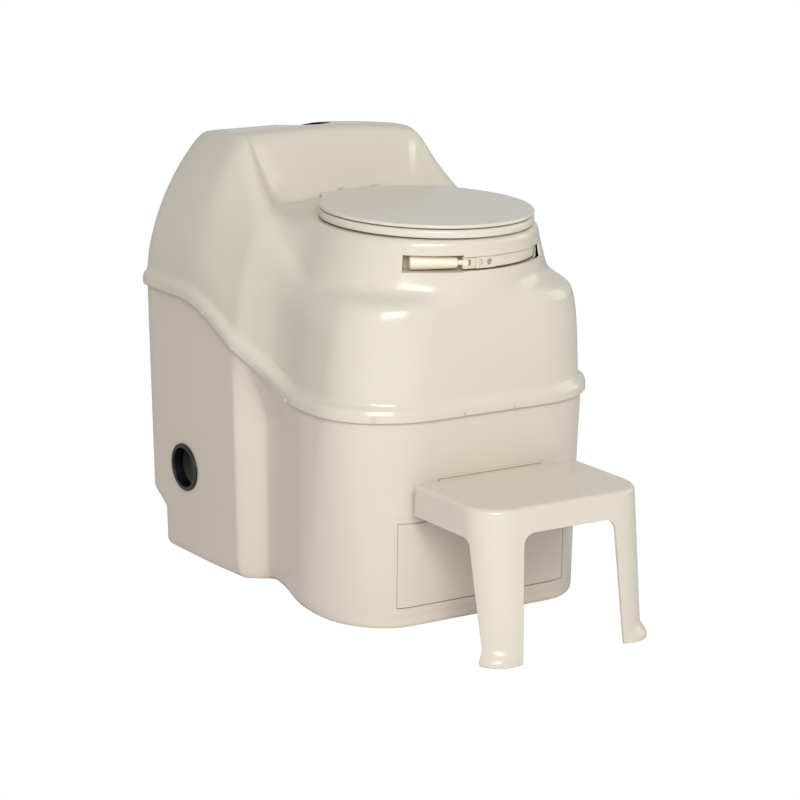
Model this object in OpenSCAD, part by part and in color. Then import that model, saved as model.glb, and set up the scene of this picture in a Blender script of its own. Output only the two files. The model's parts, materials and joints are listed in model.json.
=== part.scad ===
// Composting toilet with a hand-turned drum, a finishing drawer and a loose step.
// +Z is up and the front faces -Y.  The origin is under the middle of the footprint.

/* [Casing] */
// Depth from the lip at the back to the step's front feet
overall_d = 942; // [930:1:960]
// Depth of the casing from its back wall to its front wall
casing_d = 680; // [670:1:690]
// Half width of the back of the casing at the seam
back_half = 279; // [274:1:284]
// Half width of the back of the casing at the floor
back_half_base = 258; // [254:1:262]
// Half width of the front of the casing at the seam
front_half = 263; // [260:1:266]
// Half width of the front of the casing at the floor
front_half_base = 261; // [258:1:264]
// Height of the seam along the back
seam_back_z = 482; // [470:1:495]
// Height of the seam round the front
seam_front_z = 358; // [350:1:365]
// Distance from the front wall to the start of the seam's rise
seam_rise_front = 194; // [180:1:210]
// Distance from the back wall to the end of the seam's rise
seam_rise_back = 136; // [120:1:150]
// Radius of the casing's back corners
back_corner = 16; // [14:1:20]
// Reach of the front corners along the width
front_corner_w = 150; // [140:1:158]
// Reach of the front corners along the depth
front_corner_d = 120; // [110:1:128]
// Distance from the back wall to the upright groove in each side
groove_from_back = 313; // [308:1:318]
// Depth of the groove at the floor
groove_deep = 42; // [36:1:46]
// Depth of the groove at the seam
groove_shallow = 5; // [4:1:8]
// Thickness of the moulded walls
wall = 5; // [4:0.5:6]
// Height of the pipe recess across the foot of the back wall
recess_h = 88; // [84:1:92]
// Depth of the pipe recess
recess_d = 42; // [36:1:46]

/* [Lip] */
// How far the lip of the upper casing stands proud of the wall
lip_out = 8; // [7.5:0.5:9]
// Height of the lip
lip_h = 22; // [20:1:26]
// Radius of a lip screw's head
lip_screw_r = 3.5; // [3:0.5:4]

/* [Hump and shoulder] */
// Height of the hump over the vent
hump_z = 767; // [758:1:776]
// Half width of the hump's top
hump_half = 184; // [181:1:187]
// How far the hump's top is set in from the back wall
hump_back_in = 40; // [36:1:44]
// Distance from the back wall to the hump's front edge
hump_d = 178; // [172:1:184]
// Fall of the hump's top towards the back
hump_fall = 14; // [10:1:18]
// Height of the shoulder round the front
shoulder_z = 549; // [544:1:554]
// How far the shoulder is set in from the wall
shoulder_in = 31; // [28:1:34]
// Distance from the front wall to the start of the ridge's climb
ridge_from_front = 157; // [150:1:165]
// Power by which the hump's sides lean in as they rise
hump_lean = 1.9; // [1.7:0.1:2.1]
// How sharply the ridge climbs to the hump
ridge_power = 2.1; // [1.9:0.05:2.3]
// Height of the deck that the seat stands on
deck_z = 655; // [652:1:658]
// Distance from the seat's middle to the foot of the hump
deck_back = 252; // [246:1:256]
// Half width of the deck
deck_half = 192; // [189:1:195]
// Half width of the neck at the shoulder
neck_half = 224; // [220:1:226]
// Distance from the neck's middle to its front at the shoulder
neck_front = 199; // [197:1:200]

/* [Seat and lid] */
// Width of the seat and of the lid
seat_w = 360; // [356:1:364]
// Length of the seat and of the lid
seat_l = 392; // [388:1:396]
// Thickness of the seat ring
seat_t = 14; // [13:0.5:15]
// Thickness of the lid at its rim
lid_t = 6; // [5:0.5:7]
// Height of the lid's crown over its rim
lid_crown = 2; // [1:0.5:3]
// Half width of the opening in the seat
seat_open_w = 112; // [106:1:116]
// Half length of the opening in the seat
seat_open_l = 125; // [120:1:128]
// Height of the rubber bumpers
bumper_h = 3; // [2.5:0.5:4]
// Radius of the hinge rod
rod_r = 4; // [3.5:0.5:4.5]
// Distance from the back of the seat ring to the hinge rod
rod_back = 16; // [15:1:18]
// Outer radius of the hinge knuckles
knuckle_r = 8; // [7.5:0.5:8.5]

/* [Crank] */
// Height of the crank's axis
crank_z = 615; // [612:1:618]
// Radius of the neck's wall where the crank lies
neck_r = 193; // [192:1:194]
// Height of the crank's recess
crank_recess_h = 28; // [27:0.5:30]
// Depth of the crank's recess
crank_recess_d = 30; // [29:0.5:31]
// Angle from the front to each end of the recess
crank_recess_angle = 47; // [46:0.5:48]
// Radius of the grip
grip_r = 11; // [10:0.5:11]
// Distance from the grip's pin to the end of the grip
grip_l = 96; // [92:1:98]
// Angle from the front to the grip's pin
grip_angle = 13; // [12:0.5:14]
// Radius of the grip's pin
grip_pin_r = 2.5; // [2:0.5:3]
// Height of the crank's arm
arm_h = 20; // [18:1:22]
// How far the crank pulls out
crank_travel = 35; // [30:1:36]
// Side of the square drive
drive_w = 11; // [10:0.5:12]

/* [Drum and gears] */
// Outer radius of the drum
drum_r = 165; // [160:1:168]
// Length of the drum between its end discs
drum_l = 320; // [300:1:330]
// Thickness of the drum's shell
drum_wall = 3; // [2.5:0.5:4]
// Module of the gears
gear_module = 4; // [3.9:0.05:4.05]
// Teeth on the drum's ring gear
ring_teeth = 75; // [73:1:76]
// Teeth on the idler gear
idler_teeth = 26; // [25:1:27]
// Teeth on the pinion
pinion_teeth = 13; // [12:1:13]
// Width of the gears
gear_w = 9; // [8:0.5:10]
// Width of the drum's door
door_w = 150; // [140:1:160]
// Length of the drum's door
door_l = 190; // [180:1:200]

/* [Drawer] */
// Width of the drawer's front
drawer_w = 346; // [342:1:350]
// Height of the drawer's lower edge
drawer_z = 37; // [36:1:40]
// Height of the drawer's front
drawer_h = 146; // [142:1:150]
// Width of the drawer's tray
tray_w = 316; // [308:1:320]
// Height of the drawer's tray
tray_h = 96; // [90:1:100]
// Length of the drawer's tray
tray_l = 330; // [320:1:340]
// How far the drawer slides out
drawer_travel = 320; // [300:1:330]

/* [Step] */
// Height of the step's tread
step_z = 257; // [253:1:261]
// Half width of the tread
step_half = 168; // [166:1:170]
// Distance from the casing's front wall to the back edge of the tread
step_gap = 22; // [20:1:24]
// Distance from the casing's front wall to the front edge of the tread
step_reach = 222; // [216:1:228]
// Radius of the tread's front corners
step_corner = 62; // [58:1:66]
// How far the legs spread sideways at the floor
step_splay = 3; // [2:1:5]
// Height of the skirt under the tread
skirt_h = 43; // [41:1:45]
// Height of the skirt along the step's sides
side_skirt_h = 53; // [50:1:56]
// Thickness of the step's walls
step_wall = 5; // [4.5:0.5:6]
// Width of each leg across the front under the skirt
leg_w = 74; // [71:1:77]
// Width of each leg across the front at the floor
leg_w_foot = 66; // [63:1:69]
// Depth of each leg along the side under the skirt
leg_d_top = 42; // [38:1:46]
// Depth of each leg along the side at the floor
leg_d_foot = 28; // [25:1:31]
// How far the toes of the feet stand out at the corners
foot_lip = 11; // [9:1:13]
// How far the step and its slot lie off the middle
step_shift = 8; // [5:1:10]
// Width of the tongue that enters the casing
tongue_w = 210; // [204:1:211]
// Thickness of the tongue
tongue_t = 24; // [20:1:26]

/* [Vent and ports] */
// Bore radius of the vent collar
vent_r = 45; // [43:1:47]
// Distance from the back wall to the vent's axis
vent_from_back = 90; // [88:1:92]
// Depth of the vent collar's bore
vent_l = 60; // [50:1:70]
// Outer radius of the side port's ring
port_r = 43.5; // [42:0.5:45]
// Bore radius of the side port
port_bore_r = 36; // [34:0.5:37]
// Height of the side port's axis
port_z = 165; // [160:1:170]
// Distance from the back wall to the side port's axis
port_from_back = 126; // [120:1:132]
// Half width of the deck's opening over the bowl
bowl_half_w = 130; // [126:1:132]
// Half length of the deck's opening over the bowl
bowl_half_l = 143; // [140:1:144]
// Bore radius of the overflow drain
drain_r = 9; // [8:0.5:10]

/* [Hidden] */
// axes of the gear train, one above the other
function pitch_r(teeth) = gear_module * teeth / 2;
drum_z = crank_z - pitch_r(ring_teeth) - 2 * pitch_r(idler_teeth) - pitch_r(pinion_teeth);
idler_z = drum_z + pitch_r(ring_teeth) + pitch_r(idler_teeth);
$fn = 48;

// clearances
running = 0.05; // a pin or shaft in its bore
seated = 0.3; // a piece lying on its seat
gap = 2; // a panel in its opening

// places along the depth
back_y = overall_d / 2 - lip_out;
front_y = back_y - casing_d;
seam_y0 = front_y + seam_rise_front;
seam_y1 = back_y - seam_rise_back;
groove_y = back_y - groove_from_back;
hump_y = back_y - hump_d;
ridge_y0 = front_y + ridge_from_front;
vent_y = back_y - vent_from_back;
port_y = back_y - port_from_back;
seat_y = front_y + seat_l / 2 + 1;
corner_y = front_y + front_corner_d;

function mix(a, b, t) = a + (b - a) * t;
function clamp01(t) = min(1, max(0, t));
function ease(a, b, x) = let (t = clamp01((x - a) / (b - a))) t * t * (3 - 2 * t);

// ---- the outline that both halves of the casing share -----------------------------------
// A station is a stretch of the half outline and a share of the way along it.
function stretch(name, n) = [for (i = [0 : n - 1]) [name, i / n]];
STATIONS = concat(stretch("back", 3), stretch("back_corner", 5), stretch("side", 4),
    stretch("groove", 9), stretch("flank", 3), stretch("front_corner", 8),
    stretch("front", 3), [["front", 1]]);

function seam_z(y) = mix(seam_front_z, seam_back_z, ease(seam_y0, seam_y1, y));
function half_back(z, o) = mix(back_half_base, back_half, z / seam_back_z) + o;
function half_front(z, o) = mix(front_half_base, front_half, z / seam_front_z) + o;
function back_wall(z, o) =
    back_y + o - recess_d * (1 - ease(recess_h - 20, recess_h + 20, z));
function groove_depth(z) =
    mix(groove_deep, groove_shallow, ease(seam_front_z - 70, seam_front_z + 60, z));
function side_x(y, z, o) =
    mix(half_back(z, o), half_front(z, o), ease(groove_y + 38, groove_y - 60, y))
    - groove_depth(z) * ease(groove_y + 38, groove_y - 4, y)
    * (1 - ease(groove_y - 4, groove_y - 110, y));

// a point of the wall: z is its height, o moves it outwards
function wall_point(s, z, o) =
    let (t = s[1], r = back_corner + o, yb = back_wall(z, o), hb = half_back(z, o),
        hf = half_front(z, o), g0 = groove_y + 42, g1 = groove_y - 70,
        rw = front_corner_w + o, rd = front_corner_d + o)
    s[0] == "back" ? [(hb - r) * t, yb]
    : s[0] == "back_corner" ? [hb - r + r * sin(90 * t), yb - r + r * cos(90 * t)]
    : s[0] == "side" ? [hb, mix(yb - r, g0, t)]
    : s[0] == "groove" ? let (y = mix(g0, g1, t)) [side_x(y, z, o), y]
    : s[0] == "flank" ? let (y = mix(g1, corner_y, t)) [side_x(y, z, o), y]
    : s[0] == "front_corner" ? [hf - rw + rw * cos(90 * t), corner_y - rd * sin(90 * t)]
    : [(hf - rw) * (1 - t), front_y - o];

// 1 round the front of the casing and 0 along the hump
function frontness(y) = 1 - ease(60, 300, y);
function whole(half) =
    concat(half, [for (i = [len(half) - 2 : -1 : 1]) [-half[i].x, half[i].y, half[i].z]]);
// a level ring, and a ring that follows the seam at a share f of its height plus dz
function level_ring(z, o) =
    whole([for (s = STATIONS) let (p = wall_point(s, z, o)) [p.x, p.y, z]]);
// a level ring near the floor, set in by a rounding that is larger round the front
function foot_ring(z, small, large) =
    whole([for (s = STATIONS)
        let (in = mix(small, large, frontness(wall_point(s, z, 0).y)), p = wall_point(s, z, -in))
        [p.x, p.y, z]]);
function seam_half(f, dz, o) =
    [for (s = STATIONS)
        let (z = seam_z(wall_point(s, seam_front_z, 0).y) * f + dz, p = wall_point(s, z, o))
        [p.x, p.y, z]];
function seam_ring(f, dz, o) = whole(seam_half(f, dz, o));
// the casing's front face over x at a height
function face_y(x, z, o) =
    let (rw = front_corner_w + o, rd = front_corner_d + o, u = abs(x) - half_front(z, o) + rw)
    u <= 0 ? front_y - o : corner_y - rd * sqrt(max(0, 1 - pow(u / rw, 2)));

// ---- skins ------------------------------------------------------------------------------
// rings of n points joined in order; the last joins the first, or each end is capped by a fan
module skin(rings, looped = false) {
    n = len(rings[0]);
    m = len(rings);
    sides = [for (j = [0 : looped ? m - 1 : m - 2]) for (i = [0 : n - 1])
        let (k = (j + 1) % m, l = (i + 1) % n) each
        [[j * n + i, j * n + l, k * n + l], [j * n + i, k * n + l, k * n + i]]];
    caps = looped ? [] : [for (i = [0 : n - 1]) let (l = (i + 1) % n) each
        [[m * n, l, i], [m * n + 1, (m - 1) * n + i, (m - 1) * n + l]]];
    ends = looped ? [] : [middle(rings[0]), middle(rings[m - 1])];
    polyhedron(concat([for (r = rings) for (p = r) p], ends), concat(sides, caps), convexity = 8);
}
function middle(ring) =
    [for (k = [0 : 2]) [for (p = ring) p[k]] * [for (p = ring) 1]] / len(ring);
function reversed(list) = [for (i = [len(list) - 1 : -1 : 0]) list[i]];
function unit(v) = v / max(norm(v), 1e-9);
// the rings of a grid moved inwards by t along the surface's normal
function inside(rings, t) =
    let (n = len(rings[0]), m = len(rings))
    [for (j = [0 : m - 1]) [for (i = [0 : n - 1])
        let (along = rings[j][(i + 1) % n] - rings[j][(i + n - 1) % n],
            up = rings[min(j + 1, m - 1)][i] - rings[max(j - 1, 0)][i])
        rings[j][i] - t * unit(cross(up, along))]];

// ---- upper casing -----------------------------------------------------------------------
function ridge_z(y, z0) =
    mix(z0, hump_z, pow(clamp01((y - ridge_y0) / (hump_y - 20 - ridge_y0)), ridge_power));
// how far the hump's crowned top has fallen at a depth
function hump_drop(y) = hump_fall * pow(clamp01((y - hump_y) / (back_y - hump_back_in - hump_y)), 2);
HALF_SEAM = seam_half(1, 0, 0);
// outer edge of the crest: the shoulder round the front, the rim of the hump at the back
CREST_OUT = [for (p = HALF_SEAM)
    let (y = p.y - hump_back_in * ease(groove_y, back_y, p.y) + 4 * ease(0, front_y, p.y),
        fall = hump_drop(y))
    [p.x * mix(hump_half / back_half, 1 - shoulder_in / front_half, frontness(p.y)), y,
        ridge_z(y, shoulder_z) - fall]];
// inner edge of the crest: an ellipse round the neck, then the front edge of the hump
neck_mid = front_y + 2 + neck_front;
function crest_neck(p) =
    let (a = atan2(p.y - neck_mid, p.x),
        r = 1 / sqrt(pow(cos(a) / neck_half, 2) + pow(sin(a) / neck_front, 2)))
    [r * cos(a), neck_mid + r * sin(a)];
function crest_hump(p) =
    let (x = 0.95 * p.x, y1 = hump_y - 25 * pow(x / hump_half, 2))
    [x, min(p.y, y1) + 0.04 * max(0, p.y - y1)];
CREST_IN = [for (p = CREST_OUT)
    let (w = ease(110, -40, p.y), a = crest_neck(p), b = crest_hump(p),
        z = ridge_z(min(p.y, b.y), shoulder_z + 5) + 14 * ease(-20, -110, p.y))
    [mix(b.x, a.x, w), mix(b.y, a.y, w), z]];
// a ring between the two edges of the crest, raised along the hump to its crowned top
function crest_mid(k) = [for (i = [0 : len(CREST_OUT) - 1])
    let (p = mix(CREST_OUT[i], CREST_IN[i], k), w = ease(hump_y - 60, hump_y, CREST_OUT[i].y))
    [p.x, p.y, mix(p.z, hump_z - hump_drop(p.y), w)]];
// edge of the deck under the seat, round in front and square at the back
function deck_point(a, in, z) =
    let (c = cos(a), s = sin(a), k = s > 0 ? 2 + 2.2 * ease(0, 1, s) : 2,
        hw = deck_half - in,
        hl = s > 0 ? deck_back - in : seat_y - front_y - 4 - in,
        r = pow(pow(abs(c) / hw, k) + pow(abs(s) / hl, k), -1 / k))
    [r * c, seat_y + r * s, z];
function deck_ring(in, z) =
    [for (p = CREST_IN) deck_point(atan2(p.y - seat_y, max(p.x, 0)), in, z)];
function outer_wall(v) =
    [for (i = [0 : len(STATIONS) - 1])
        let (a = HALF_SEAM[i] + [0, 0, lip_h + 6], b = CREST_OUT[i],
            h = mix(pow(v, hump_lean), 0.45 * v + 0.55 * pow(v, 5), frontness(a.y)))
        [mix(a.x * (1 - 0.03 * frontness(a.y)), b.x, h), mix(a.y, b.y, h), mix(a.z, b.z, v)]];
function neck_wall(s) =
    let (d = deck_ring(0, deck_z - 6))
    [for (i = [0 : len(STATIONS) - 1])
        let (a = CREST_IN[i], b = d[i], w = ease(80, 270, a.y),
            h = mix(pow(s, 0.9), s, w), v = mix(s, 1 - pow(1 - s, 1.5), w))
        [mix(a.x, b.x, h), mix(a.y, b.y, h), mix(a.z, b.z, v)]];
function bowl_opening(in, z) =
    [for (p = CREST_IN)
        let (a = atan2(p.y - seat_y, max(p.x, 0)), c = cos(a), s = sin(a),
            r = 1 / sqrt(pow(c / (bowl_half_w - in), 2) + pow(s / (bowl_half_l - in), 2)))
        [r * c, seat_y + r * s, z]];

UPPER_SKIN = concat(
    [for (v = [0, 0.3, 0.55, 0.75, 0.88, 0.96]) whole(outer_wall(v))],
    [whole(CREST_OUT), whole(crest_mid(0.35)), whole(crest_mid(0.7)), whole(CREST_IN)],
    [for (s = [0.25, 0.5, 0.75, 1]) whole(neck_wall(s))],
    [whole(deck_ring(6, deck_z))]);

module upper_casing() {
    lip = [seam_ring(1, 0, lip_out), seam_ring(1, lip_h * 0.6, lip_out),
        seam_ring(1, lip_h, lip_out - 3)];
    lip_in = [seam_ring(1, 0, lip_out - wall), seam_ring(1, lip_h - 4, lip_out - wall)];
    inner = inside(UPPER_SKIN, wall);
    color([0.86, 0.84, 0.76]) difference() {
        skin(concat(lip, UPPER_SKIN, [whole(bowl_opening(0, deck_z))],
            [whole(bowl_opening(0, deck_z - wall))], reversed(inner), reversed(lip_in)), true);
        translate([0, vent_y, hump_z - 60]) cylinder(r = vent_r + collar_wall + seated, h = 80);
        crank_channel(crank_recess_d + liner_t + 2, crank_recess_h / 2 + liner_t + seated,
            crank_recess_angle + liner_angle + 0.2, 60);
        at_posts() translate([0, 0, deck_z - 20]) cylinder(r = bolt_r + seated, h = 40);
    }
}

// ---- lower casing -----------------------------------------------------------------------
rim_z = lip_h - 4 - seated; // top of the lower casing above the seam
floor_t = 6; // thickness of the floor
low_z = recess_h - 20; // height below which the back wall is fully recessed
drain_z = 34;
gland_x = 150;
gland_z = 36;
gland_r = 9;
port_tilt = atan((back_half - back_half_base) / seam_back_z);
module at_port() {
    translate([-half_back(port_z, 0), port_y, port_z]) rotate([0, -90 - port_tilt, 0]) children();
}
module at_back(x, z) {
    translate([x, back_y - recess_d, z]) rotate([-90, 0, 0]) children();
}
module lower_casing() {
    levels = [low_z, recess_h, recess_h + 20];
    shares = [0.5, 0.68, 0.84, 0.94, 1];
    shell = concat([foot_ring(0, 12, 26), foot_ring(6, 4, 12), foot_ring(16, 0, 4), level_ring(32, 0)],
        [for (z = levels) level_ring(z, 0)], [for (f = shares) seam_ring(f, 0, 0)],
        [seam_ring(1, rim_z, 0)]);
    hollow = concat([foot_ring(floor_t, 17, 26), level_ring(30, -wall)],
        [for (z = levels) level_ring(z, -wall)], [for (f = shares) seam_ring(f, 0, -wall)],
        [seam_ring(1, rim_z, -wall)]);
    color([0.87, 0.84, 0.78]) difference() {
        skin(concat(shell, reversed(hollow)));
        translate([-drawer_w / 2 - gap, front_y - 10, drawer_z - gap])
            cube([drawer_w + 2 * gap, 60, drawer_h + 2 * gap]);
        translate([step_shift - socket_half - seated, front_y - 10, socket_z - seated])
            cube([2 * (socket_half + seated), 30, socket_h + 2 * seated]);
        at_port() translate([0, 0, -20]) cylinder(r = port_tube_r + seated, h = 40);
        at_back(0, drain_z) translate([0, 0, -20]) cylinder(r = drain_r + 3 + seated, h = 40);
        at_back(gland_x, gland_z) translate([0, 0, -20]) cylinder(r = gland_r + seated, h = 40);
    }
}

// screws through the lip, each lying flat on it
LIP_SCREWS = [["front", 0.55], ["front_corner", 0.55], ["flank", 0.5], ["side", 0.8], ["side", 0.1]];
lip_screw_t = 2.5;
module lip_screws() {
    color([0.72, 0.70, 0.64]) for (s = LIP_SCREWS) for (m = [0, 1]) mirror([m, 0, 0]) {
        z = seam_z(wall_point(s, seam_front_z, 0).y) + 6.5;
        p = wall_point(s, z, lip_out + seated);
        d = wall_point([s[0], s[1] + 0.02], z, lip_out) - wall_point([s[0], s[1] - 0.02], z, lip_out);
        translate([p.x, p.y, z]) rotate([0, 0, atan2(-d.x, d.y) + 180]) rotate([0, 90, 0])
            cylinder(r = lip_screw_r, h = lip_screw_t);
    }
}

// ---- vent, ports and gland --------------------------------------------------------------
collar_wall = 4;
// the collar's top lies just under the lowest part of the hole's edge
collar_foot = hump_z - hump_drop(vent_y + vent_r + collar_wall) - 2 - vent_l;
module vent_collar() {
    color([0.13, 0.13, 0.13]) translate([0, vent_y, collar_foot]) difference() {
        cylinder(r = vent_r + collar_wall, h = vent_l);
        translate([0, 0, 4]) cylinder(r = vent_r, h = vent_l);
        translate([0, 0, -1]) cylinder(r = vent_r - 4, h = 8);
    }
}

port_tube_r = port_bore_r + 2.5;
port_flange_t = 4;
port_depth = 16; // from the casing's outer face to the tube's inner end
port_seat_r = port_bore_r - 1; // the tube narrows to the hose's seat behind the casing's wall
port_seat_l = port_depth - wall - 2;
module side_port_ring() {
    color([0.07, 0.07, 0.07]) at_port() difference() {
        union() {
            translate([0, 0, seated]) cylinder(r = port_r, h = port_flange_t);
            translate([0, 0, -port_depth]) cylinder(r = port_tube_r, h = port_depth + 1);
        }
        translate([0, 0, -port_depth - 1]) cylinder(r = port_seat_r, h = port_depth + 6);
        translate([0, 0, port_seat_l - port_depth]) cylinder(r = port_bore_r, h = 40);
    }
}
module overflow_drain() {
    color([0.25, 0.25, 0.25]) at_back(0, drain_z) difference() {
        union() {
            translate([0, 0, seated]) cylinder(r = drain_r + 9, h = 3);
            translate([0, 0, -12]) cylinder(r = drain_r + 3, h = 46);
        }
        translate([0, 0, -20]) cylinder(r = drain_r, h = 60);
    }
}
module cord_gland() {
    color([0.15, 0.15, 0.15]) at_back(gland_x, gland_z) difference() {
        union() {
            translate([0, 0, seated]) cylinder(r = gland_r + 4, h = 6, $fn = 6);
            translate([0, 0, -12]) cylinder(r = gland_r, h = 30);
        }
        translate([0, 0, -1]) cylinder(r = 3.6, h = 60);
        translate([0, 0, -20]) cylinder(r = 4.6, h = 21);
    }
}

// ---- seat and lid -----------------------------------------------------------------------
seat_z = deck_z + bumper_h;
lid_gap = 2.5;
lid_z = seat_z + seat_t + lid_gap;
rod_y = seat_y + seat_l / 2 + rod_back;
rod_z = seat_z + seat_t / 2;
oval_n = 48;
function oval(hw, hl, z, y = seat_y) =
    [for (i = [0 : oval_n - 1]) let (a = -360 * i / oval_n) [hw * cos(a), y + hl * sin(a), z]];
function seat_ring(in, z) = oval(seat_w / 2 - in, seat_l / 2 - in, z);
function seat_hole(out, z) = oval(seat_open_w + out, seat_open_l + out, z);
// two arms from the ring to the hinge rod, between x0 and x1 on each side
module arms(x0, x1, y0, z0, z1) {
    for (m = [0, 1]) mirror([m, 0, 0]) {
        translate([x0, y0, z0]) cube([x1 - x0, rod_y - y0, z1 - z0]);
        translate([x0, rod_y, rod_z]) rotate([0, 90, 0]) cylinder(r = knuckle_r, h = x1 - x0);
    }
}
module rod_bore() {
    translate([-200, rod_y, rod_z]) rotate([0, 90, 0]) cylinder(r = rod_r + running, h = 400);
}
module toilet_seat() {
    z = seat_z;
    color([0.87, 0.85, 0.79]) difference() {
        union() {
            skin([seat_ring(3, z), seat_ring(0, z + 3), seat_ring(0, z + seat_t - 4),
                seat_ring(4, z + seat_t), seat_hole(6, z + seat_t), seat_hole(0, z + seat_t - 5),
                seat_hole(0, z + 3), seat_hole(3, z)], true);
            arms(46, 58, rod_y - 34, z + 1, z + seat_t - 1);
        }
        rod_bore();
    }
}
module seat_lid() {
    z = lid_z;
    color([0.84, 0.83, 0.79]) difference() {
        union() {
            skin([seat_ring(8, z), seat_ring(1, z), seat_ring(0, z + 1), seat_ring(0, z + lid_t - 2.5),
                seat_ring(1.5, z + lid_t), seat_ring(30, z + lid_t + 0.6 * lid_crown),
                seat_ring(90, z + lid_t + lid_crown)]);
            arms(30, 42, rod_y - 12, rod_z, z + 2);
            for (m = [0, 1]) mirror([m, 0, 0])
                translate([30, rod_y - 36, z]) cube([12, 36, lid_t - 1]);
        }
        rod_bore();
    }
}
bolt_r = 4;
post_x = 69;
post_w = 16;
module at_posts() {
    for (m = [0, 1]) mirror([m, 0, 0]) translate([post_x, rod_y, 0]) children();
}
module hinge_posts() {
    color([0.85, 0.83, 0.78]) difference() {
        at_posts() {
            translate([-post_w / 2, -13, deck_z + seated]) cube([post_w, 26, 4]);
            translate([-post_w / 2, -knuckle_r, deck_z + seated])
                cube([post_w, 2 * knuckle_r, rod_z - deck_z - seated]);
            translate([-post_w / 2, 0, rod_z]) rotate([0, 90, 0])
                cylinder(r = knuckle_r, h = post_w);
            translate([0, 0, deck_z - 24]) cylinder(r = bolt_r, h = 26);
        }
        rod_bore();
    }
}
module hinge_nuts() {
    color([0.80, 0.78, 0.72]) at_posts() translate([0, 0, deck_z - wall - seated - 9]) difference() {
        cylinder(r = 10, h = 9);
        translate([0, 0, -1]) cylinder(r = bolt_r + running, h = 11);
    }
}
module hinge_rod() {
    color([0.75, 0.75, 0.75]) translate([-post_x - post_w / 2, rod_y, rod_z]) rotate([0, 90, 0])
        cylinder(r = rod_r, h = 2 * post_x + post_w);
}
module bumpers(r, angles, z, h) {
    for (a = angles) translate([mix(seat_open_w, seat_w / 2, 0.6) * sin(a),
        seat_y + mix(seat_open_l, seat_l / 2, 0.6) * cos(a), z]) cylinder(r = r, h = h);
}
module seat_bumpers() {
    color([0.9, 0.89, 0.85])
        bumpers(8, [45, 130, 230, 315], deck_z + seated, bumper_h - seated);
}
module lid_bumpers() {
    color([0.9, 0.89, 0.85])
        bumpers(6, [60, 150, 210, 300], seat_z + seat_t + seated, lid_gap - seated);
}

// ---- bowl liner -------------------------------------------------------------------------
liner_wall = 2.5;
bowl_foot_z = drum_z + drum_r + 8;
// share of the way down, then the half width and half length of the bowl there
function bowl_ring(in, z, w, l) = oval(w - in, l - in, z);
module bowl_liner() {
    z0 = deck_z + seated;
    rim = bumper_h - 0.6;
    w = bowl_half_w - seated;
    l = bowl_half_l - seated;
    body = [[z0, w - 1, l - 1], [deck_z - 8, w - 4, l - 4], [crank_z + 4, 106, 108], [crank_z - 25, 92, 98],
        [mix(crank_z, bowl_foot_z, 0.7), 74, 88], [bowl_foot_z, 66, 84]];
    outer = [for (b = body) bowl_ring(0, b[0], b[1], b[2])];
    inner = [for (b = body) bowl_ring(liner_wall, b[0], b[1], b[2])];
    color([0.88, 0.87, 0.83])
        skin(reversed(concat([oval(w + 5, l + 5, z0 + rim), oval(w + 5, l + 5, z0)], outer,
            reversed(inner), [bowl_ring(liner_wall + 1, z0 + rim, w, l)])), true);
}

// ---- crank ------------------------------------------------------------------------------
neck_y = front_y + neck_r + 5;
liner_t = 2.5;
liner_angle = 1;
channel_r = neck_r - crank_recess_d; // radius of the recess's back wall
// part of a ring round the neck: it reaches deep into the wall and out past its face
module crank_channel(deep, hh, angle, out) {
    arc_block(neck_r - deep, neck_r + out, hh, -angle, angle);
}
// a block between two radii, 2 * hh high about the crank's axis, between two angles from the front
module arc_block(r0, r1, hh, a0, a1) {
    translate([0, neck_y, crank_z - hh]) rotate([0, 0, -90 + a0])
        rotate_extrude(angle = a1 - a0) translate([r0, 0]) square([r1 - r0, 2 * hh]);
}
module on_shaft(y) {
    translate([0, y, crank_z]) rotate([-90, 0, 0]) children();
}
pinion_y = neck_y + 1 - sqrt(pow(channel_r - liner_t, 2) - pow(pitch_r(pinion_teeth) + gear_module, 2));
journal_r = 10;
module crank_recess() {
    color([0.83, 0.81, 0.74]) difference() {
        crank_channel(crank_recess_d + liner_t, crank_recess_h / 2 + liner_t,
            crank_recess_angle + liner_angle, -1.5);
        crank_channel(crank_recess_d, crank_recess_h / 2, crank_recess_angle, 30);
        on_shaft(-overall_d / 2) cylinder(r = journal_r + running, h = overall_d);
    }
}
arm_out = neck_r - 2; // outer radius of the crank's arm
shaft_r = 5.5;
hub_y = neck_y - arm_out; // front of the hub
pin_at = [-(arm_out - 8) * sin(grip_angle), neck_y - (arm_out - 8) * cos(grip_angle)];
grip_turn = grip_angle + asin(grip_l / 2 / (arm_out - 8));
module crank_arm() {
    color([0.84, 0.82, 0.76]) difference() {
        union() {
            arc_block(arm_out - 5, arm_out - 0.5, arm_h / 2 - 0.5, 2, crank_recess_angle - 2);
            arc_block(arm_out - 15, arm_out, arm_h / 2, -8, 4);
            arc_block(arm_out - 13, arm_out - 3, arm_h / 2, -grip_angle, -7);
            translate([pin_at.x, pin_at.y, crank_z - arm_h / 2]) rotate([0, 0, 180])
                cylinder(r = 6, h = arm_h);
        }
        on_shaft(-overall_d / 2) cylinder(r = shaft_r + running, h = overall_d);
        translate([pin_at.x, pin_at.y, crank_z - arm_h]) cylinder(r = grip_pin_r + running, h = 2 * arm_h);
        // slot for the grip's eye, and the notch beside it
        translate([pin_at.x, pin_at.y, crank_z - 5]) cylinder(r = 9, h = 10);
        arc_block(arm_out - 4, arm_out + 5, 4.5, -6.2, -4.2);
    }
}
module drive_shaft() {
    color([0.6, 0.6, 0.62]) {
        on_shaft(hub_y + 2) cylinder(r = shaft_r, h = pinion_y + gear_w + 4 - hub_y);
        translate([-drive_w / 2, pinion_y + gear_w + 4, crank_z - drive_w / 2])
            cube([drive_w, drive_l, drive_w]);
    }
}
drive_l = 28;
module at_grip() {
    translate([pin_at.x, pin_at.y, crank_z]) rotate([0, 0, 180 - grip_turn]) children();
}
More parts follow.
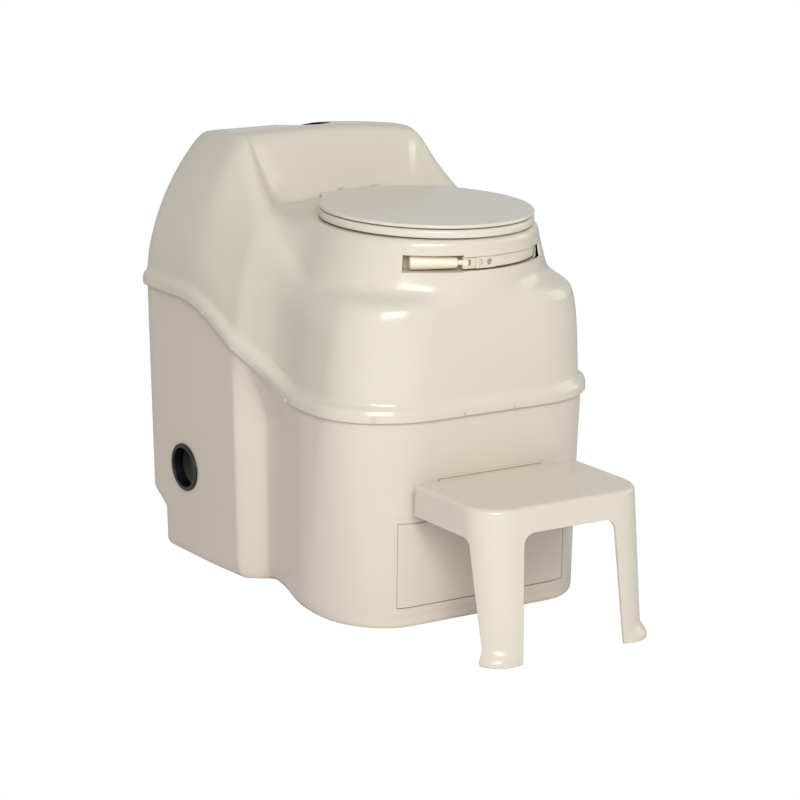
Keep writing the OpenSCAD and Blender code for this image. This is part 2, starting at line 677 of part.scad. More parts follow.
module crank_grip() {
    color([0.93, 0.88, 0.78]) at_grip() difference() {
        union() {
            translate([0, 0, -4.7]) cylinder(r = 6, h = 9.4);
            rotate([0, 90, 0]) cylinder(r = 4.5, h = 16);
            translate([13, 0, 0]) rotate([0, 90, 0]) cylinder(r = grip_r - 2, h = grip_l - 13);
            translate([15, 0, 0]) rotate([0, 90, 0]) cylinder(r = grip_r, h = grip_l - 17);
        }
        translate([0, 0, -20]) cylinder(r = grip_pin_r + running, h = 40);
    }
}
module grip_pin() {
    color([0.7, 0.7, 0.7]) translate([pin_at.x, pin_at.y, crank_z - arm_h / 2])
        cylinder(r = grip_pin_r, h = arm_h);
}

// ---- gears ------------------------------------------------------------------------------
backlash = 0.35; // share of a degree-free play, as a length along the pitch circle
// a spur gear about +Z; turn moves the first tooth from +X
module gear(teeth, turn) {
    rp = pitch_r(teeth);
    ra = rp + 0.9 * gear_module;
    rf = rp - 1.2 * gear_module;
    step = 360 / teeth;
    half = (90 / teeth) - (backlash / rp) * 90 / PI;
    tip = half * 0.42;
    foot = half * 1.5;
    linear_extrude(height = gear_w) polygon([for (i = [0 : teeth - 1])
        let (a = i * step + turn)
        for (q = [[rf, -foot], [rp, -half], [ra, -tip], [ra, tip], [rp, half], [rf, foot]])
            q[0] * [cos(a + q[1]), sin(a + q[1])]]);
}
// a gear about the Y axis at height z, with tooth or gap pointing up as turn says
module at_gear(z) {
    translate([0, pinion_y + gear_w, z]) rotate([90, 0, 0]) children();
}
module pinion_gear() {
    color([0.9, 0.9, 0.88]) difference() {
        union() {
            at_gear(crank_z) gear(pinion_teeth, -90);
            on_shaft(neck_y - channel_r) cylinder(r = journal_r, h = pinion_y + channel_r - neck_y + 1);
        }
        translate([-drive_w / 2 - seated, -overall_d / 2, crank_z - drive_w / 2 - seated])
            cube([drive_w + 2 * seated, overall_d, drive_w + 2 * seated]);
    }
}
axle_r = 6;
module idler_gear() {
    // a gap faces the pinion above, and a gap or a tooth the ring below by the parity of its teeth
    color([0.9, 0.9, 0.88]) at_gear(idler_z) difference() {
        gear(idler_teeth, 90 + 180 / idler_teeth);
        translate([0, 0, -1]) cylinder(r = axle_r + running, h = gear_w + 2);
        for (a = [0 : 60 : 300]) rotate([0, 0, a]) translate([28, 0, -1]) cylinder(r = 9, h = gear_w + 2);
    }
}
module idler_axle() {
    y0 = bracket_y + bracket_t + seated;
    color([0.6, 0.6, 0.62]) translate([0, y0, idler_z]) rotate([-90, 0, 0]) {
        cylinder(r = axle_r, h = pinion_y + gear_w + 6 - y0);
        cylinder(r = axle_r + 5, h = pinion_y - seated - y0);
    }
}
module ring_gear() {
    // the idler shows the ring a gap below when its teeth are even, so the ring shows a tooth
    color([0.9, 0.9, 0.88]) at_gear(drum_z) difference() {
        gear(ring_teeth, 90 + (idler_teeth % 2 == 0 ? 0 : 180 / ring_teeth));
        translate([0, 0, -1]) cylinder(r = pitch_r(ring_teeth) - 26, h = gear_w + 2);
    }
}

// ---- drum -------------------------------------------------------------------------------
disc_t = 4;
disc_y = pinion_y + gear_w + seated; // front of the front disc
drum_y0 = disc_y + disc_t; // front of the shell
drum_y1 = drum_y0 + drum_l;
trunnion_r = 12;
door_y = seat_y - door_l / 2;
door_pin_r = 2.5;
door_x = -(door_w / 2 - 4);
door_hinge_z = drum_z + sqrt(pow(drum_r - drum_wall / 2, 2) - pow(door_x, 2)) - 5.5;
module along_drum(y, h, r) {
    translate([0, y, drum_z]) rotate([-90, 0, 0]) cylinder(r = r, h = h, $fn = 96);
}
module door_barrel(y, h, r) {
    translate([door_x, y, door_hinge_z]) rotate([-90, 0, 0]) cylinder(r = r, h = h);
}
module drum_shell() {
    color([0.35, 0.36, 0.36]) difference() {
        union() {
            difference() {
                along_drum(drum_y0, drum_l, drum_r);
                along_drum(drum_y0 - 1, drum_l + 2, drum_r - drum_wall);
                translate([-door_w / 2 - gap, door_y - gap, drum_z])
                    cube([door_w + 2 * gap, door_l + 2 * gap, drum_r + 5]);
            }
            door_barrel(door_y - gap - 12, 12, 5);
            door_barrel(door_y + door_l + gap, 12, 5);
        }
        door_barrel(door_y - 20, door_l + 40, door_pin_r + running);
    }
}
module drum_door() {
    color([0.42, 0.43, 0.43]) difference() {
        union() {
            intersection() {
                difference() {
                    along_drum(door_y, door_l, drum_r);
                    along_drum(door_y - 1, door_l + 2, drum_r - drum_wall);
                }
                translate([-door_w / 2, door_y, drum_z]) cube([door_w, door_l, drum_r + 5]);
            }
            door_barrel(door_y, 40, 5);
            door_barrel(door_y + door_l - 40, 40, 5);
        }
        door_barrel(door_y - 20, door_l + 40, door_pin_r + running);
    }
}
module door_pin() {
    color([0.7, 0.7, 0.7]) door_barrel(door_y - gap - 12, door_l + 2 * gap + 24, door_pin_r);
}
module drum_disc(y, slots) {
    difference() {
        along_drum(y, disc_t, drum_r);
        if (slots)
            for (a = [0 : 30 : 330]) for (r = [60, 90, 120])
                translate([0, y - 1, drum_z]) rotate([0, a, 0]) translate([r, 0, -3])
                    cube([22, disc_t + 2, 6]);
    }
}
module drum_front_disc() { color([0.4, 0.41, 0.41]) drum_disc(disc_y, false); }
module drum_back_disc() { color([0.4, 0.41, 0.41]) drum_disc(drum_y1, true); }
bearing_w = 12;
bearing_r = 24;
bracket_y = front_y + 2 * wall + seated; // front face of the front bracket
bracket_t = 4;
back_bracket_y = drum_y1 + disc_t + 22;
module front_trunnion() {
    color([0.6, 0.6, 0.62]) along_drum(bracket_y + bracket_t + 1, disc_y - bracket_y - bracket_t - 1, trunnion_r);
}
module back_trunnion() {
    color([0.6, 0.6, 0.62]) along_drum(drum_y1 + disc_t, back_bracket_y - drum_y1 - disc_t - 1, trunnion_r);
}
module bearing(y) {
    color([0.85, 0.84, 0.8]) difference() {
        along_drum(y, bearing_w, bearing_r);
        along_drum(y - 1, bearing_w + 2, trunnion_r + running);
    }
}
module front_bearing() { bearing(bracket_y + bracket_t + seated); }
module back_bearing() { bearing(back_bracket_y - seated - bearing_w); }
bracket_half = 55;
module front_bracket() {
    z0 = drawer_z + drawer_h + 20;
    z1 = idler_z + 13;
    color([0.66, 0.67, 0.68]) union() {
        translate([-bracket_half, bracket_y, z0]) cube([2 * bracket_half, bracket_t, z1 - z0]);
        // standoffs reach the casing's front wall
        for (x = [-40, 40]) for (z = [z0 + 70, seam_front_z - 20])
            translate([x, front_y + wall + seated, z]) rotate([-90, 0, 0])
                cylinder(r = 8, h = bracket_y - front_y - wall - seated + 1);
    }
}
module back_bracket() {
    y = back_bracket_y;
    color([0.66, 0.67, 0.68]) {
        translate([0, y + bracket_t, 0]) rotate([90, 0, 0]) linear_extrude(height = bracket_t)
            polygon([[-160, floor_t + seated], [160, floor_t + seated], [40, drum_z + 36],
                [-40, drum_z + 36]]);
        translate([-160, y, floor_t + seated]) cube([320, 40, bracket_t]);
    }
}

// ---- drawer -----------------------------------------------------------------------------
face_t = 6;
tray_y = front_y + 34;
tray_z = drawer_z + 4;
module drawer_front() {
    n = 24;
    color([0.87, 0.84, 0.78]) skin([for (i = [0 : n])
        let (x = drawer_w * (i / n - 0.5), z0 = drawer_z, z1 = drawer_z + drawer_h)
        [[x, face_y(x, z0, 0), z0], [x, face_y(x, z1, 0), z1],
            [x, face_y(x, z1, -face_t), z1], [x, face_y(x, z0, -face_t), z0]]]);
}
module drawer_tray() {
    color([0.3, 0.31, 0.32]) {
        translate([-tray_w / 2, tray_y, tray_z]) difference() {
            cube([tray_w, tray_l, tray_h]);
            translate([3, 3, 3]) cube([tray_w - 6, tray_l - 6, tray_h]);
        }
        for (x = [-80, 70]) translate([x, front_y + face_t, tray_z + 10])
            cube([10, tray_y - front_y - face_t + 1, tray_h - 20]);
    }
}
runner_x = 128;
module drawer_runners() {
    color([0.66, 0.67, 0.68]) for (m = [0, 1]) mirror([m, 0, 0])
        translate([runner_x, front_y + 50, floor_t + seated]) {
            cube([8, tray_l - 30, tray_z - floor_t - 2 * seated]);
            translate([0, 0, 0]) cube([26, tray_l - 30, 4]);
        }
}

// ---- evaporating chamber ----------------------------------------------------------------
element_r = 4;
element_gap = 50;
element_y0 = front_y + 60;
element_l = 290;
element_z = floor_t + seated + element_r;
module evaporating_tray() {
    z = element_z + element_r + seated;
    color([0.6, 0.6, 0.6]) translate([-110, element_y0 - 35, z]) difference() {
        cube([220, element_l + 70, 14]);
        translate([2, 2, 2]) cube([216, element_l + 66, 14]);
    }
}
module heating_element() {
    color([0.35, 0.3, 0.28]) union() {
        for (i = [-1.5 : 1 : 1.5]) translate([i * element_gap, element_y0, element_z])
            rotate([-90, 0, 0]) cylinder(r = element_r, h = element_l);
        for (i = [-1, 1]) translate([i * element_gap, element_y0, element_z]) rotate([0, 0, 180])
            rotate_extrude(angle = 180) translate([element_gap / 2, 0]) circle(r = element_r);
        translate([0, element_y0 + element_l, element_z])
            rotate_extrude(angle = 180) translate([element_gap / 2, 0]) circle(r = element_r);
    }
}
module thermostat() {
    color([0.2, 0.2, 0.22]) translate([-60, back_bracket_y + 46, floor_t + seated]) {
        cube([46, 30, 34]);
        translate([23, 15, 33]) cylinder(r = 9, h = 8);
    }
}

// ---- fan --------------------------------------------------------------------------------
fan_h = 84;
fan_z = collar_foot - seated - fan_h;
fan_r = vent_r + collar_wall;
motor_r = 21;
motor_h = 34;
module fan_housing() {
    color([0.15, 0.15, 0.16]) translate([0, vent_y, fan_z]) union() {
        difference() {
            cylinder(r = fan_r, h = fan_h);
            translate([0, 0, -1]) cylinder(r = fan_r - 2.5, h = fan_h + 2);
        }
        for (a = [0 : 90 : 270]) rotate([0, 0, a + 45]) translate([motor_r + 2, -2, 6])
            cube([fan_r - motor_r - 3, 4, 18]);
        translate([0, 0, 4]) difference() {
            cylinder(r = motor_r + 3, h = motor_h - 10);
            translate([0, 0, 3]) cylinder(r = motor_r + seated, h = motor_h);
            translate([0, 0, -1]) cylinder(r = 8, h = 10);
        }
    }
}
module fan_motor() {
    color([0.5, 0.5, 0.52]) translate([0, vent_y, fan_z + 7 + seated]) {
        cylinder(r = motor_r, h = motor_h);
        translate([0, 0, motor_h - 1]) cylinder(r = 2.5, h = 19);
    }
}
module fan_impeller() {
    z = fan_z + 7 + seated + motor_h + 2;
    color([0.1, 0.1, 0.1]) translate([0, vent_y, z]) difference() {
        union() {
            cylinder(r = 16, h = 16);
            for (i = [0 : 6]) rotate([0, 0, i * 360 / 7]) translate([12, 0, 8])
                rotate([38, 0, 0]) translate([0, -9, -1]) cube([fan_r - 2.5 - 3 - 12, 18, 2]);
        }
        translate([0, 0, -1]) cylinder(r = 2.5 + running, h = 20);
    }
}

// ---- step -------------------------------------------------------------------------------
socket_half = 110.5;
socket_wall = 3;
socket_h = tongue_t + 2 + 2 * socket_wall;
socket_z = step_z - socket_h; // its top lies level with the tread
socket_d = 2 * wall;
module step_socket() {
    color([0.86, 0.83, 0.77]) translate([step_shift - socket_half, front_y, socket_z]) difference() {
        cube([2 * socket_half, socket_d, socket_h]);
        translate([socket_wall, -1, socket_wall])
            cube([2 * (socket_half - socket_wall), socket_d - socket_wall + 1, socket_h - 2 * socket_wall]);
    }
}
step_back_y = front_y - step_gap;
step_front_y = front_y - step_reach;
// how far the toes reach past the front of the feet
foot_over = max([for (i = [0 : 8]) (step_corner + foot_lip * sin(22.5 * i)) * sin(11.25 * i)]) - step_corner;
step_lean = overall_d / 2 + step_front_y - foot_over;
// outline of the step at a height: in is how far inside the outer face
function step_ring(z, in, toe = 0) =
    let (t = 1 - z / step_z, hw = step_half + step_splay * t - in, yf = step_front_y - step_lean * t + in,
        r = step_corner - in, yb = step_back_y, n = 8,
        half = concat([[0, yb], [hw, yb]],
            [for (i = [0 : n]) let (a = 90 * i / n, q = r + toe * sin(2 * a))
                [hw - r + q * cos(a), yf + r - q * sin(a)]], [[0, yf]]))
    whole([for (p = half) [p.x, p.y, z]]);
module step_stool() {
    skirt_z = step_z - skirt_h;
    side_z = step_z - side_skirt_h;
    hollow_back = step_gap - 2; // the hollow runs out through the back
    color([0.87, 0.84, 0.77]) translate([step_shift, 0, 0]) difference() {
        union() {
            difference() {
                skin([step_ring(0, 0, foot_lip), step_ring(8, 0, foot_lip),
                    step_ring(18, 0, 0.4 * foot_lip), step_ring(34, 0),
                    step_ring(step_z - 8, 0), step_ring(step_z - 2.5, 2.5), step_ring(step_z, 8)]);
                // the hollow under the tread
                skin([for (z = [-1, step_z - step_wall]) [for (p = step_ring(z, step_wall))
                    [p.x, p.y > step_back_y - 1 ? p.y + hollow_back : p.y, z]]]);
            }
            // the tongue: a web from the tread's back edge, and a block that fills the slot
            translate([-tongue_w / 2, step_back_y - 24, socket_z + socket_wall + 1])
                cube([tongue_w, step_gap + 23, step_z - step_wall - socket_z - socket_wall]);
            translate([-tongue_w / 2, front_y - 1, socket_z + socket_wall + 1])
                cube([tongue_w, socket_d - socket_wall, tongue_t]);
        }
        // the arch between the legs
        hull() for (x = [-1, 1]) {
            translate([x * (step_half - leg_w - 22), 0, skirt_z - 22]) rotate([90, 0, 0])
                cylinder(r = 22, h = overall_d, $fn = 32);
            translate([x * (step_half + step_splay - leg_w_foot) - (x > 0 ? 4 : 0), -overall_d, -5])
                cube([4, overall_d, 4]);
        }
        // the opening behind each leg
        hull() {
            translate([-300, step_front_y + leg_d_top + 18, side_z - 18]) rotate([0, 90, 0])
                cylinder(r = 18, h = 600, $fn = 32);
            translate([-300, step_front_y - step_lean + leg_d_foot, -5]) cube([600, 4, 4]);
            translate([-300, step_back_y + 10, -5]) cube([600, 4, side_z + 5]);
        }
        // grooves along the tread
        for (i = [1 : 3]) translate([-step_half + 42, mix(step_back_y, step_front_y, i / 4) - 1.5,
            step_z - 1.2]) cube([2 * step_half - 84, 3, 3]);
    }
}

lower_casing();
upper_casing();
lip_screws();
vent_collar();
side_port_ring();
overflow_drain();
cord_gland();
step_socket();
step_stool();
toilet_seat();
seat_lid();
hinge_posts();
hinge_nuts();
hinge_rod();
seat_bumpers();
lid_bumpers();
bowl_liner();
crank_recess();
crank_arm();
crank_grip();
grip_pin();
drive_shaft();
pinion_gear();
idler_gear();
idler_axle();
ring_gear();
drum_shell();
drum_front_disc();
drum_back_disc();
drum_door();
door_pin();
front_trunnion();
back_trunnion();
front_bearing();
back_bearing();
front_bracket();
back_bracket();
drawer_front();
drawer_tray();
drawer_runners();
evaporating_tray();
heating_element();
thermostat();
fan_housing();
fan_motor();
fan_impeller();
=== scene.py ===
"""A self-contained composting toilet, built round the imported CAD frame.

The two halves of the moulded casing, the seat, the lid, the step and the small parts of
the crank are fine surfaces computed with numpy from the CAD part's formulas. Some of them
leave the solids to follow the photograph more closely, and the docstrings say where.
All lengths in the builders are millimetres: front is -Y and up is +Z.
"""

import json
import logging
import math
from dataclasses import dataclass, field
from enum import Enum
from functools import cached_property
from typing import Iterable, Sequence

import bpy
import numpy as np
from mathutils import Matrix, Vector
from mathutils.bvhtree import BVHTree

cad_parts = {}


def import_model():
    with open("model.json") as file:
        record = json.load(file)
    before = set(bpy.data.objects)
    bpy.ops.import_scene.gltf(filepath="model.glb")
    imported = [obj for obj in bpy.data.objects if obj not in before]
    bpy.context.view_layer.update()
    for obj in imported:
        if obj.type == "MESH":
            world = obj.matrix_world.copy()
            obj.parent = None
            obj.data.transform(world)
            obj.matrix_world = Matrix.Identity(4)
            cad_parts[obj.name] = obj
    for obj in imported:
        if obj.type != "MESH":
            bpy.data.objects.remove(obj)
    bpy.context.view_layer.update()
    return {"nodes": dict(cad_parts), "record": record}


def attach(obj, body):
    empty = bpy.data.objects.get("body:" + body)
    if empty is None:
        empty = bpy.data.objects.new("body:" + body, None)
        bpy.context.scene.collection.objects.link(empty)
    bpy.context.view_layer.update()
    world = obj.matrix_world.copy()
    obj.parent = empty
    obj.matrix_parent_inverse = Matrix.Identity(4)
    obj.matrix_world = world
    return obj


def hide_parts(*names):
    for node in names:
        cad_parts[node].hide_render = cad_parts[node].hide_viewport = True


LOG = logging.getLogger("composting_toilet")
MM = 0.001

Value = float | np.ndarray
Span = tuple[float, float]
Triple = tuple[float, float, float]


# ---------------------------------------------------------------------------------------
# Numbers and curves
# ---------------------------------------------------------------------------------------
def mix(a: Value, b: Value, t: Value) -> Value:
    """The value a share t of the way from a to b, a + (b - a) * t."""
    return a + (b - a) * t


def ease(a: float, b: float, x: Value) -> np.ndarray:
    """Smooth step: 0 at a, 1 at b, t * t * (3 - 2 * t) between them."""
    t = np.clip((np.asarray(x, float) - a) / (b - a), 0.0, 1.0)
    return t * t * (3.0 - 2.0 * t)


def unit(v: np.ndarray) -> np.ndarray:
    """Vectors of length 1 along v's last axis."""
    return v / np.maximum(np.linalg.norm(v, axis=-1, keepdims=True), 1e-9)


def clustered(n: int) -> np.ndarray:
    """n shares from 0 up to, but without, 1, closer together near both ends.

    Each is 0.2 of an even share u and 0.8 of (1 - cos(pi * u)) / 2.
    """
    u = np.arange(n) / n
    return mix(u, (1.0 - np.cos(np.pi * u)) / 2.0, 0.8)


# ---------------------------------------------------------------------------------------
# Meshes
# ---------------------------------------------------------------------------------------
@dataclass
class Shell:
    """A closed surface: points in millimetres, and faces as rows of point numbers."""

    points: np.ndarray
    faces: list[np.ndarray] = field(default_factory=list)

    def volume(self) -> float:
        """Signed volume in cubic millimetres; it is positive when the faces look outward."""
        total = 0.0
        for block in self.faces:
            p = self.points[block]
            for k in range(1, block.shape[1] - 1):
                total += float(np.sum(np.cross(p[:, 0], p[:, k]) * p[:, k + 1]))
        return total / 6.0

    def outward(self) -> "Shell":
        """The same shell with its faces turned outward."""
        if self.volume() < 0:
            self.faces = [block[:, ::-1] for block in self.faces]
        return self


def ring_quads(m: int, n: int, looped: bool = False) -> np.ndarray:
    """The quads between m closed rings of n points, with the last joined to the first if looped."""
    j, i = np.arange(m if looped else m - 1)[:, None], np.arange(n)[None, :]
    k, l = (j + 1) % m, (i + 1) % n
    return np.stack([j * n + i, j * n + l, k * n + l, k * n + i], -1).reshape(-1, 4)


def lofted(rings: np.ndarray, looped: bool = False) -> Shell:
    """A shell through rings of matched points.

    Args:
        rings: an array (rings, points, 3).
        looped: the last ring joins the first, as in a tube bent into a ring. Otherwise
            each end is closed with one flat face.

    Returns:
        The shell, with its faces outward.
    """
    m, n, _ = rings.shape
    faces = [ring_quads(m, n, looped)]
    if not looped:
        first = np.arange(n)
        faces += [first[None, ::-1], (first + (m - 1) * n)[None]]
    return Shell(rings.reshape(-1, 3), faces).outward()


def slab(front: np.ndarray, back: np.ndarray) -> Shell:
    """A closed shell between two matched open grids, (m, n, 3)."""
    m, n, _ = front.shape
    number = np.arange(m * n).reshape(m, n)
    corners = (number[:-1, :-1], number[:-1, 1:], number[1:, 1:], number[1:, :-1])
    quads = np.stack(corners, -1).reshape(-1, 4)
    rim = np.concatenate(
        [number[0, :-1], number[:-1, -1], number[-1, :0:-1], number[:0:-1, 0]]
    )
    after = np.roll(rim, -1)
    sides = np.stack([rim, after, after + m * n, rim + m * n], -1)
    faces = [quads, quads[:, ::-1] + m * n, sides[:, ::-1]]
    return Shell(np.concatenate([front.reshape(-1, 3), back.reshape(-1, 3)]), faces).outward()


def extruded(ring: np.ndarray, axis: int, ends: Span) -> Shell:
    """A flat ring (n, 2) carried along an axis, 0 for X, 1 for Y, 2 for Z, between two ends."""
    return lofted(np.stack([np.insert(ring, axis, end, axis=1) for end in ends]))


def block(lo: Sequence[float], hi: Sequence[float]) -> Shell:
    """A box between two corners."""
    (x0, y0, z0), (x1, y1, z1) = lo, hi
    return extruded(np.array([[x0, y0], [x1, y0], [x1, y1], [x0, y1]], float), 2, (z0, z1))


def turned(profile: Sequence[Sequence[float]], n: int = 64, looped: bool = False) -> Shell:
    """A surface of revolution about +Z from rows of (radius, height)."""
    a = 2 * np.pi * np.arange(n) / n
    rings = np.stack(
        [np.stack([r * np.cos(a), r * np.sin(a), np.full(n, z)], -1) for r, z in profile]
    )
    return lofted(rings, looped=looped)


def placed(shell: Shell, matrix: Matrix) -> Shell:
    """The shell moved by a 4 x 4 matrix whose lengths are millimetres."""
    m = np.array(matrix, float)
    return Shell(shell.points @ m[:3, :3].T + m[:3, 3], shell.faces)


def bar(r: float, a: float, b: float, matrix: Matrix, n: int = 64) -> Shell:
    """A cylinder of radius r from a to b along the matrix's +Z."""
    return placed(turned([(r, a), (r, b)], n), matrix)


def along_y(x: float, y: float, z: float) -> Matrix:
    """A matrix that lays +Z of a turned piece along +Y, from the point (x, y, z)."""
    return Matrix.Translation((x, y, z)) @ Matrix.Rotation(-math.pi / 2, 4, "X")


def along_x(x: float, y: float, z: float) -> Matrix:
    """A matrix that lays +Z of a turned piece along +X, from the point (x, y, z)."""
    return Matrix.Translation((x, y, z)) @ Matrix.Rotation(math.pi / 2, 4, "Y")


def arc_block(centre: Span, radii: Span, heights: Span, angles: Span, n: int = 64) -> Shell:
    """A block between two radii, heights and angles, in degrees from -Y towards +X."""
    a = np.radians(np.linspace(*angles, n))
    direction = np.stack([np.sin(a), -np.cos(a)], -1)
    (r0, r1), (z0, z1) = radii, heights
    sides = [
        np.column_stack([np.array(centre) + r * direction, np.full(n, z)])
        for r, z in ((r0, z0), (r1, z0), (r1, z1), (r0, z1))
    ]
    return lofted(np.stack(sides, 1))


def make_mesh(name: str, shell: Shell) -> bpy.types.Mesh:
    """A Blender mesh, in metres, from a shell."""
    mesh = bpy.data.meshes.new(name)
    loops = np.concatenate([b.ravel() for b in shell.faces]).astype(np.int32)
    sizes = np.concatenate([np.full(len(b), b.shape[1]) for b in shell.faces])
    starts = np.concatenate([[0], np.cumsum(sizes)[:-1]]).astype(np.int32)
    mesh.vertices.add(len(shell.points))
    mesh.vertices.foreach_set("co", (shell.points * MM).astype(np.float32).ravel())
    mesh.loops.add(len(loops))
    mesh.loops.foreach_set("vertex_index", loops)
    mesh.polygons.add(len(sizes))
    mesh.polygons.foreach_set("loop_start", starts)
    mesh.update(calc_edges=True)
    mesh.validate()
    return mesh


def linked(name: str, data: bpy.types.ID) -> bpy.types.Object:
    """An object with its data, in the scene, at the origin."""
    obj = bpy.data.objects.new(name, data)
    bpy.context.scene.collection.objects.link(obj)
    return obj


def make_object(name: str, shell: Shell) -> bpy.types.Object:
    """An object at the origin with the shell's mesh."""
    return linked(name, make_mesh(name, shell))


class Cut(Enum):
    """What a boolean does with the second solid."""

    AWAY = "DIFFERENCE"
    JOIN = "UNION"


def combine(obj: bpy.types.Object, tools: Iterable[Shell], how: Cut) -> None:
    """Cuts shells away from an object's mesh, or joins them to it."""
    helpers = []
    for shell in tools:
        helper = make_object("tool", shell)
        modifier = obj.modifiers.new("boolean", "BOOLEAN")
        modifier.operation = how.value
        modifier.solver = "EXACT"
        modifier.object = helper
        helpers.append(helper)
    graph = bpy.context.evaluated_depsgraph_get()
    mesh = bpy.data.meshes.new_from_object(obj.evaluated_get(graph))
    obj.modifiers.clear()
    old, obj.data = obj.data, mesh
    mesh.name = obj.name
    bpy.data.meshes.remove(old)
    for helper in helpers:
        data = helper.data
        bpy.data.objects.remove(helper)
        bpy.data.meshes.remove(data)


def shade(obj: bpy.types.Object, angle: float) -> None:
    """Smooth shading with sharp edges above an angle in degrees."""
    mesh = obj.data
    mesh.polygons.foreach_set("use_smooth", np.ones(len(mesh.polygons), bool))
    mesh.set_sharp_from_angle(angle=math.radians(angle))
    mesh.update()


# ---------------------------------------------------------------------------------------
# Finishes
# ---------------------------------------------------------------------------------------
@dataclass(frozen=True)
class Finish:
    """How one material slot of the record looks.

    Colours are scene-linear RGB. rounding is the radius, in millimetres, with which the
    shading softens small edges; ripple is the height of the moulding's faint waviness;
    variation is how far the clouds in the moulding lighten and darken the colour.
    """

    colour: Triple
    roughness: float = 0.3
    metallic: float = 0.0
    rounding: float = 0.0
    ripple: float = 0.0
    variation: float = 0.03


FINISHES: dict[str, Finish] = {
    "upper_shell": Finish((0.665, 0.620, 0.515), 0.16, ripple=0.25, rounding=1.2),
    "lower_shell": Finish((0.675, 0.600, 0.515), 0.2, ripple=0.3, rounding=1.2),
    "seat": Finish((0.690, 0.650, 0.545), 0.16, ripple=0.1, rounding=1.0),
    "lid": Finish((0.690, 0.650, 0.555), 0.1, ripple=0.12, rounding=1.0),
    "step": Finish((0.675, 0.618, 0.520), 0.22, ripple=0.3, rounding=1.6),
    "trim": Finish((0.690, 0.635, 0.515), 0.2, ripple=0.1, rounding=0.6),
    "grip": Finish((0.860, 0.735, 0.600), 0.32, rounding=0.5),
    "black_plastic": Finish((0.004, 0.004, 0.005), 0.35, rounding=0.6),
    "grey_plastic": Finish((0.075, 0.08, 0.08), 0.45, rounding=0.5),
    "gear_plastic": Finish((0.62, 0.59, 0.49), 0.35, rounding=0.4),
    "steel": Finish((0.55, 0.55, 0.56), 0.28, metallic=1.0, rounding=0.3),
    "galvanised": Finish((0.50, 0.52, 0.54), 0.42, metallic=0.9, variation=0.12),
    "screws": Finish((0.66, 0.60, 0.48), 0.3, rounding=0.4),
    "rubber": Finish((0.60, 0.58, 0.52), 0.6),
}

LEAST_ROUNDING = 0.05
PEEL_HEIGHT = 0.008
PLASTIC_IOR = 1.5


def add_node(tree: bpy.types.NodeTree, kind: str, **values: float) -> bpy.types.Node:
    """A shader node, with the values of its named inputs; To_Min stands for To Min."""
    node = tree.nodes.new("ShaderNode" + kind)
    for label, value in values.items():
        node.inputs[label.replace("_", " ")].default_value = value
    return node


def wire(tree: bpy.types.NodeTree, *wires: tuple) -> None:
    """Joins sockets; each wire is (node, output, node, input)."""
    for source, out, target, into in wires:
        tree.links.new(source.outputs[out], target.inputs[into])


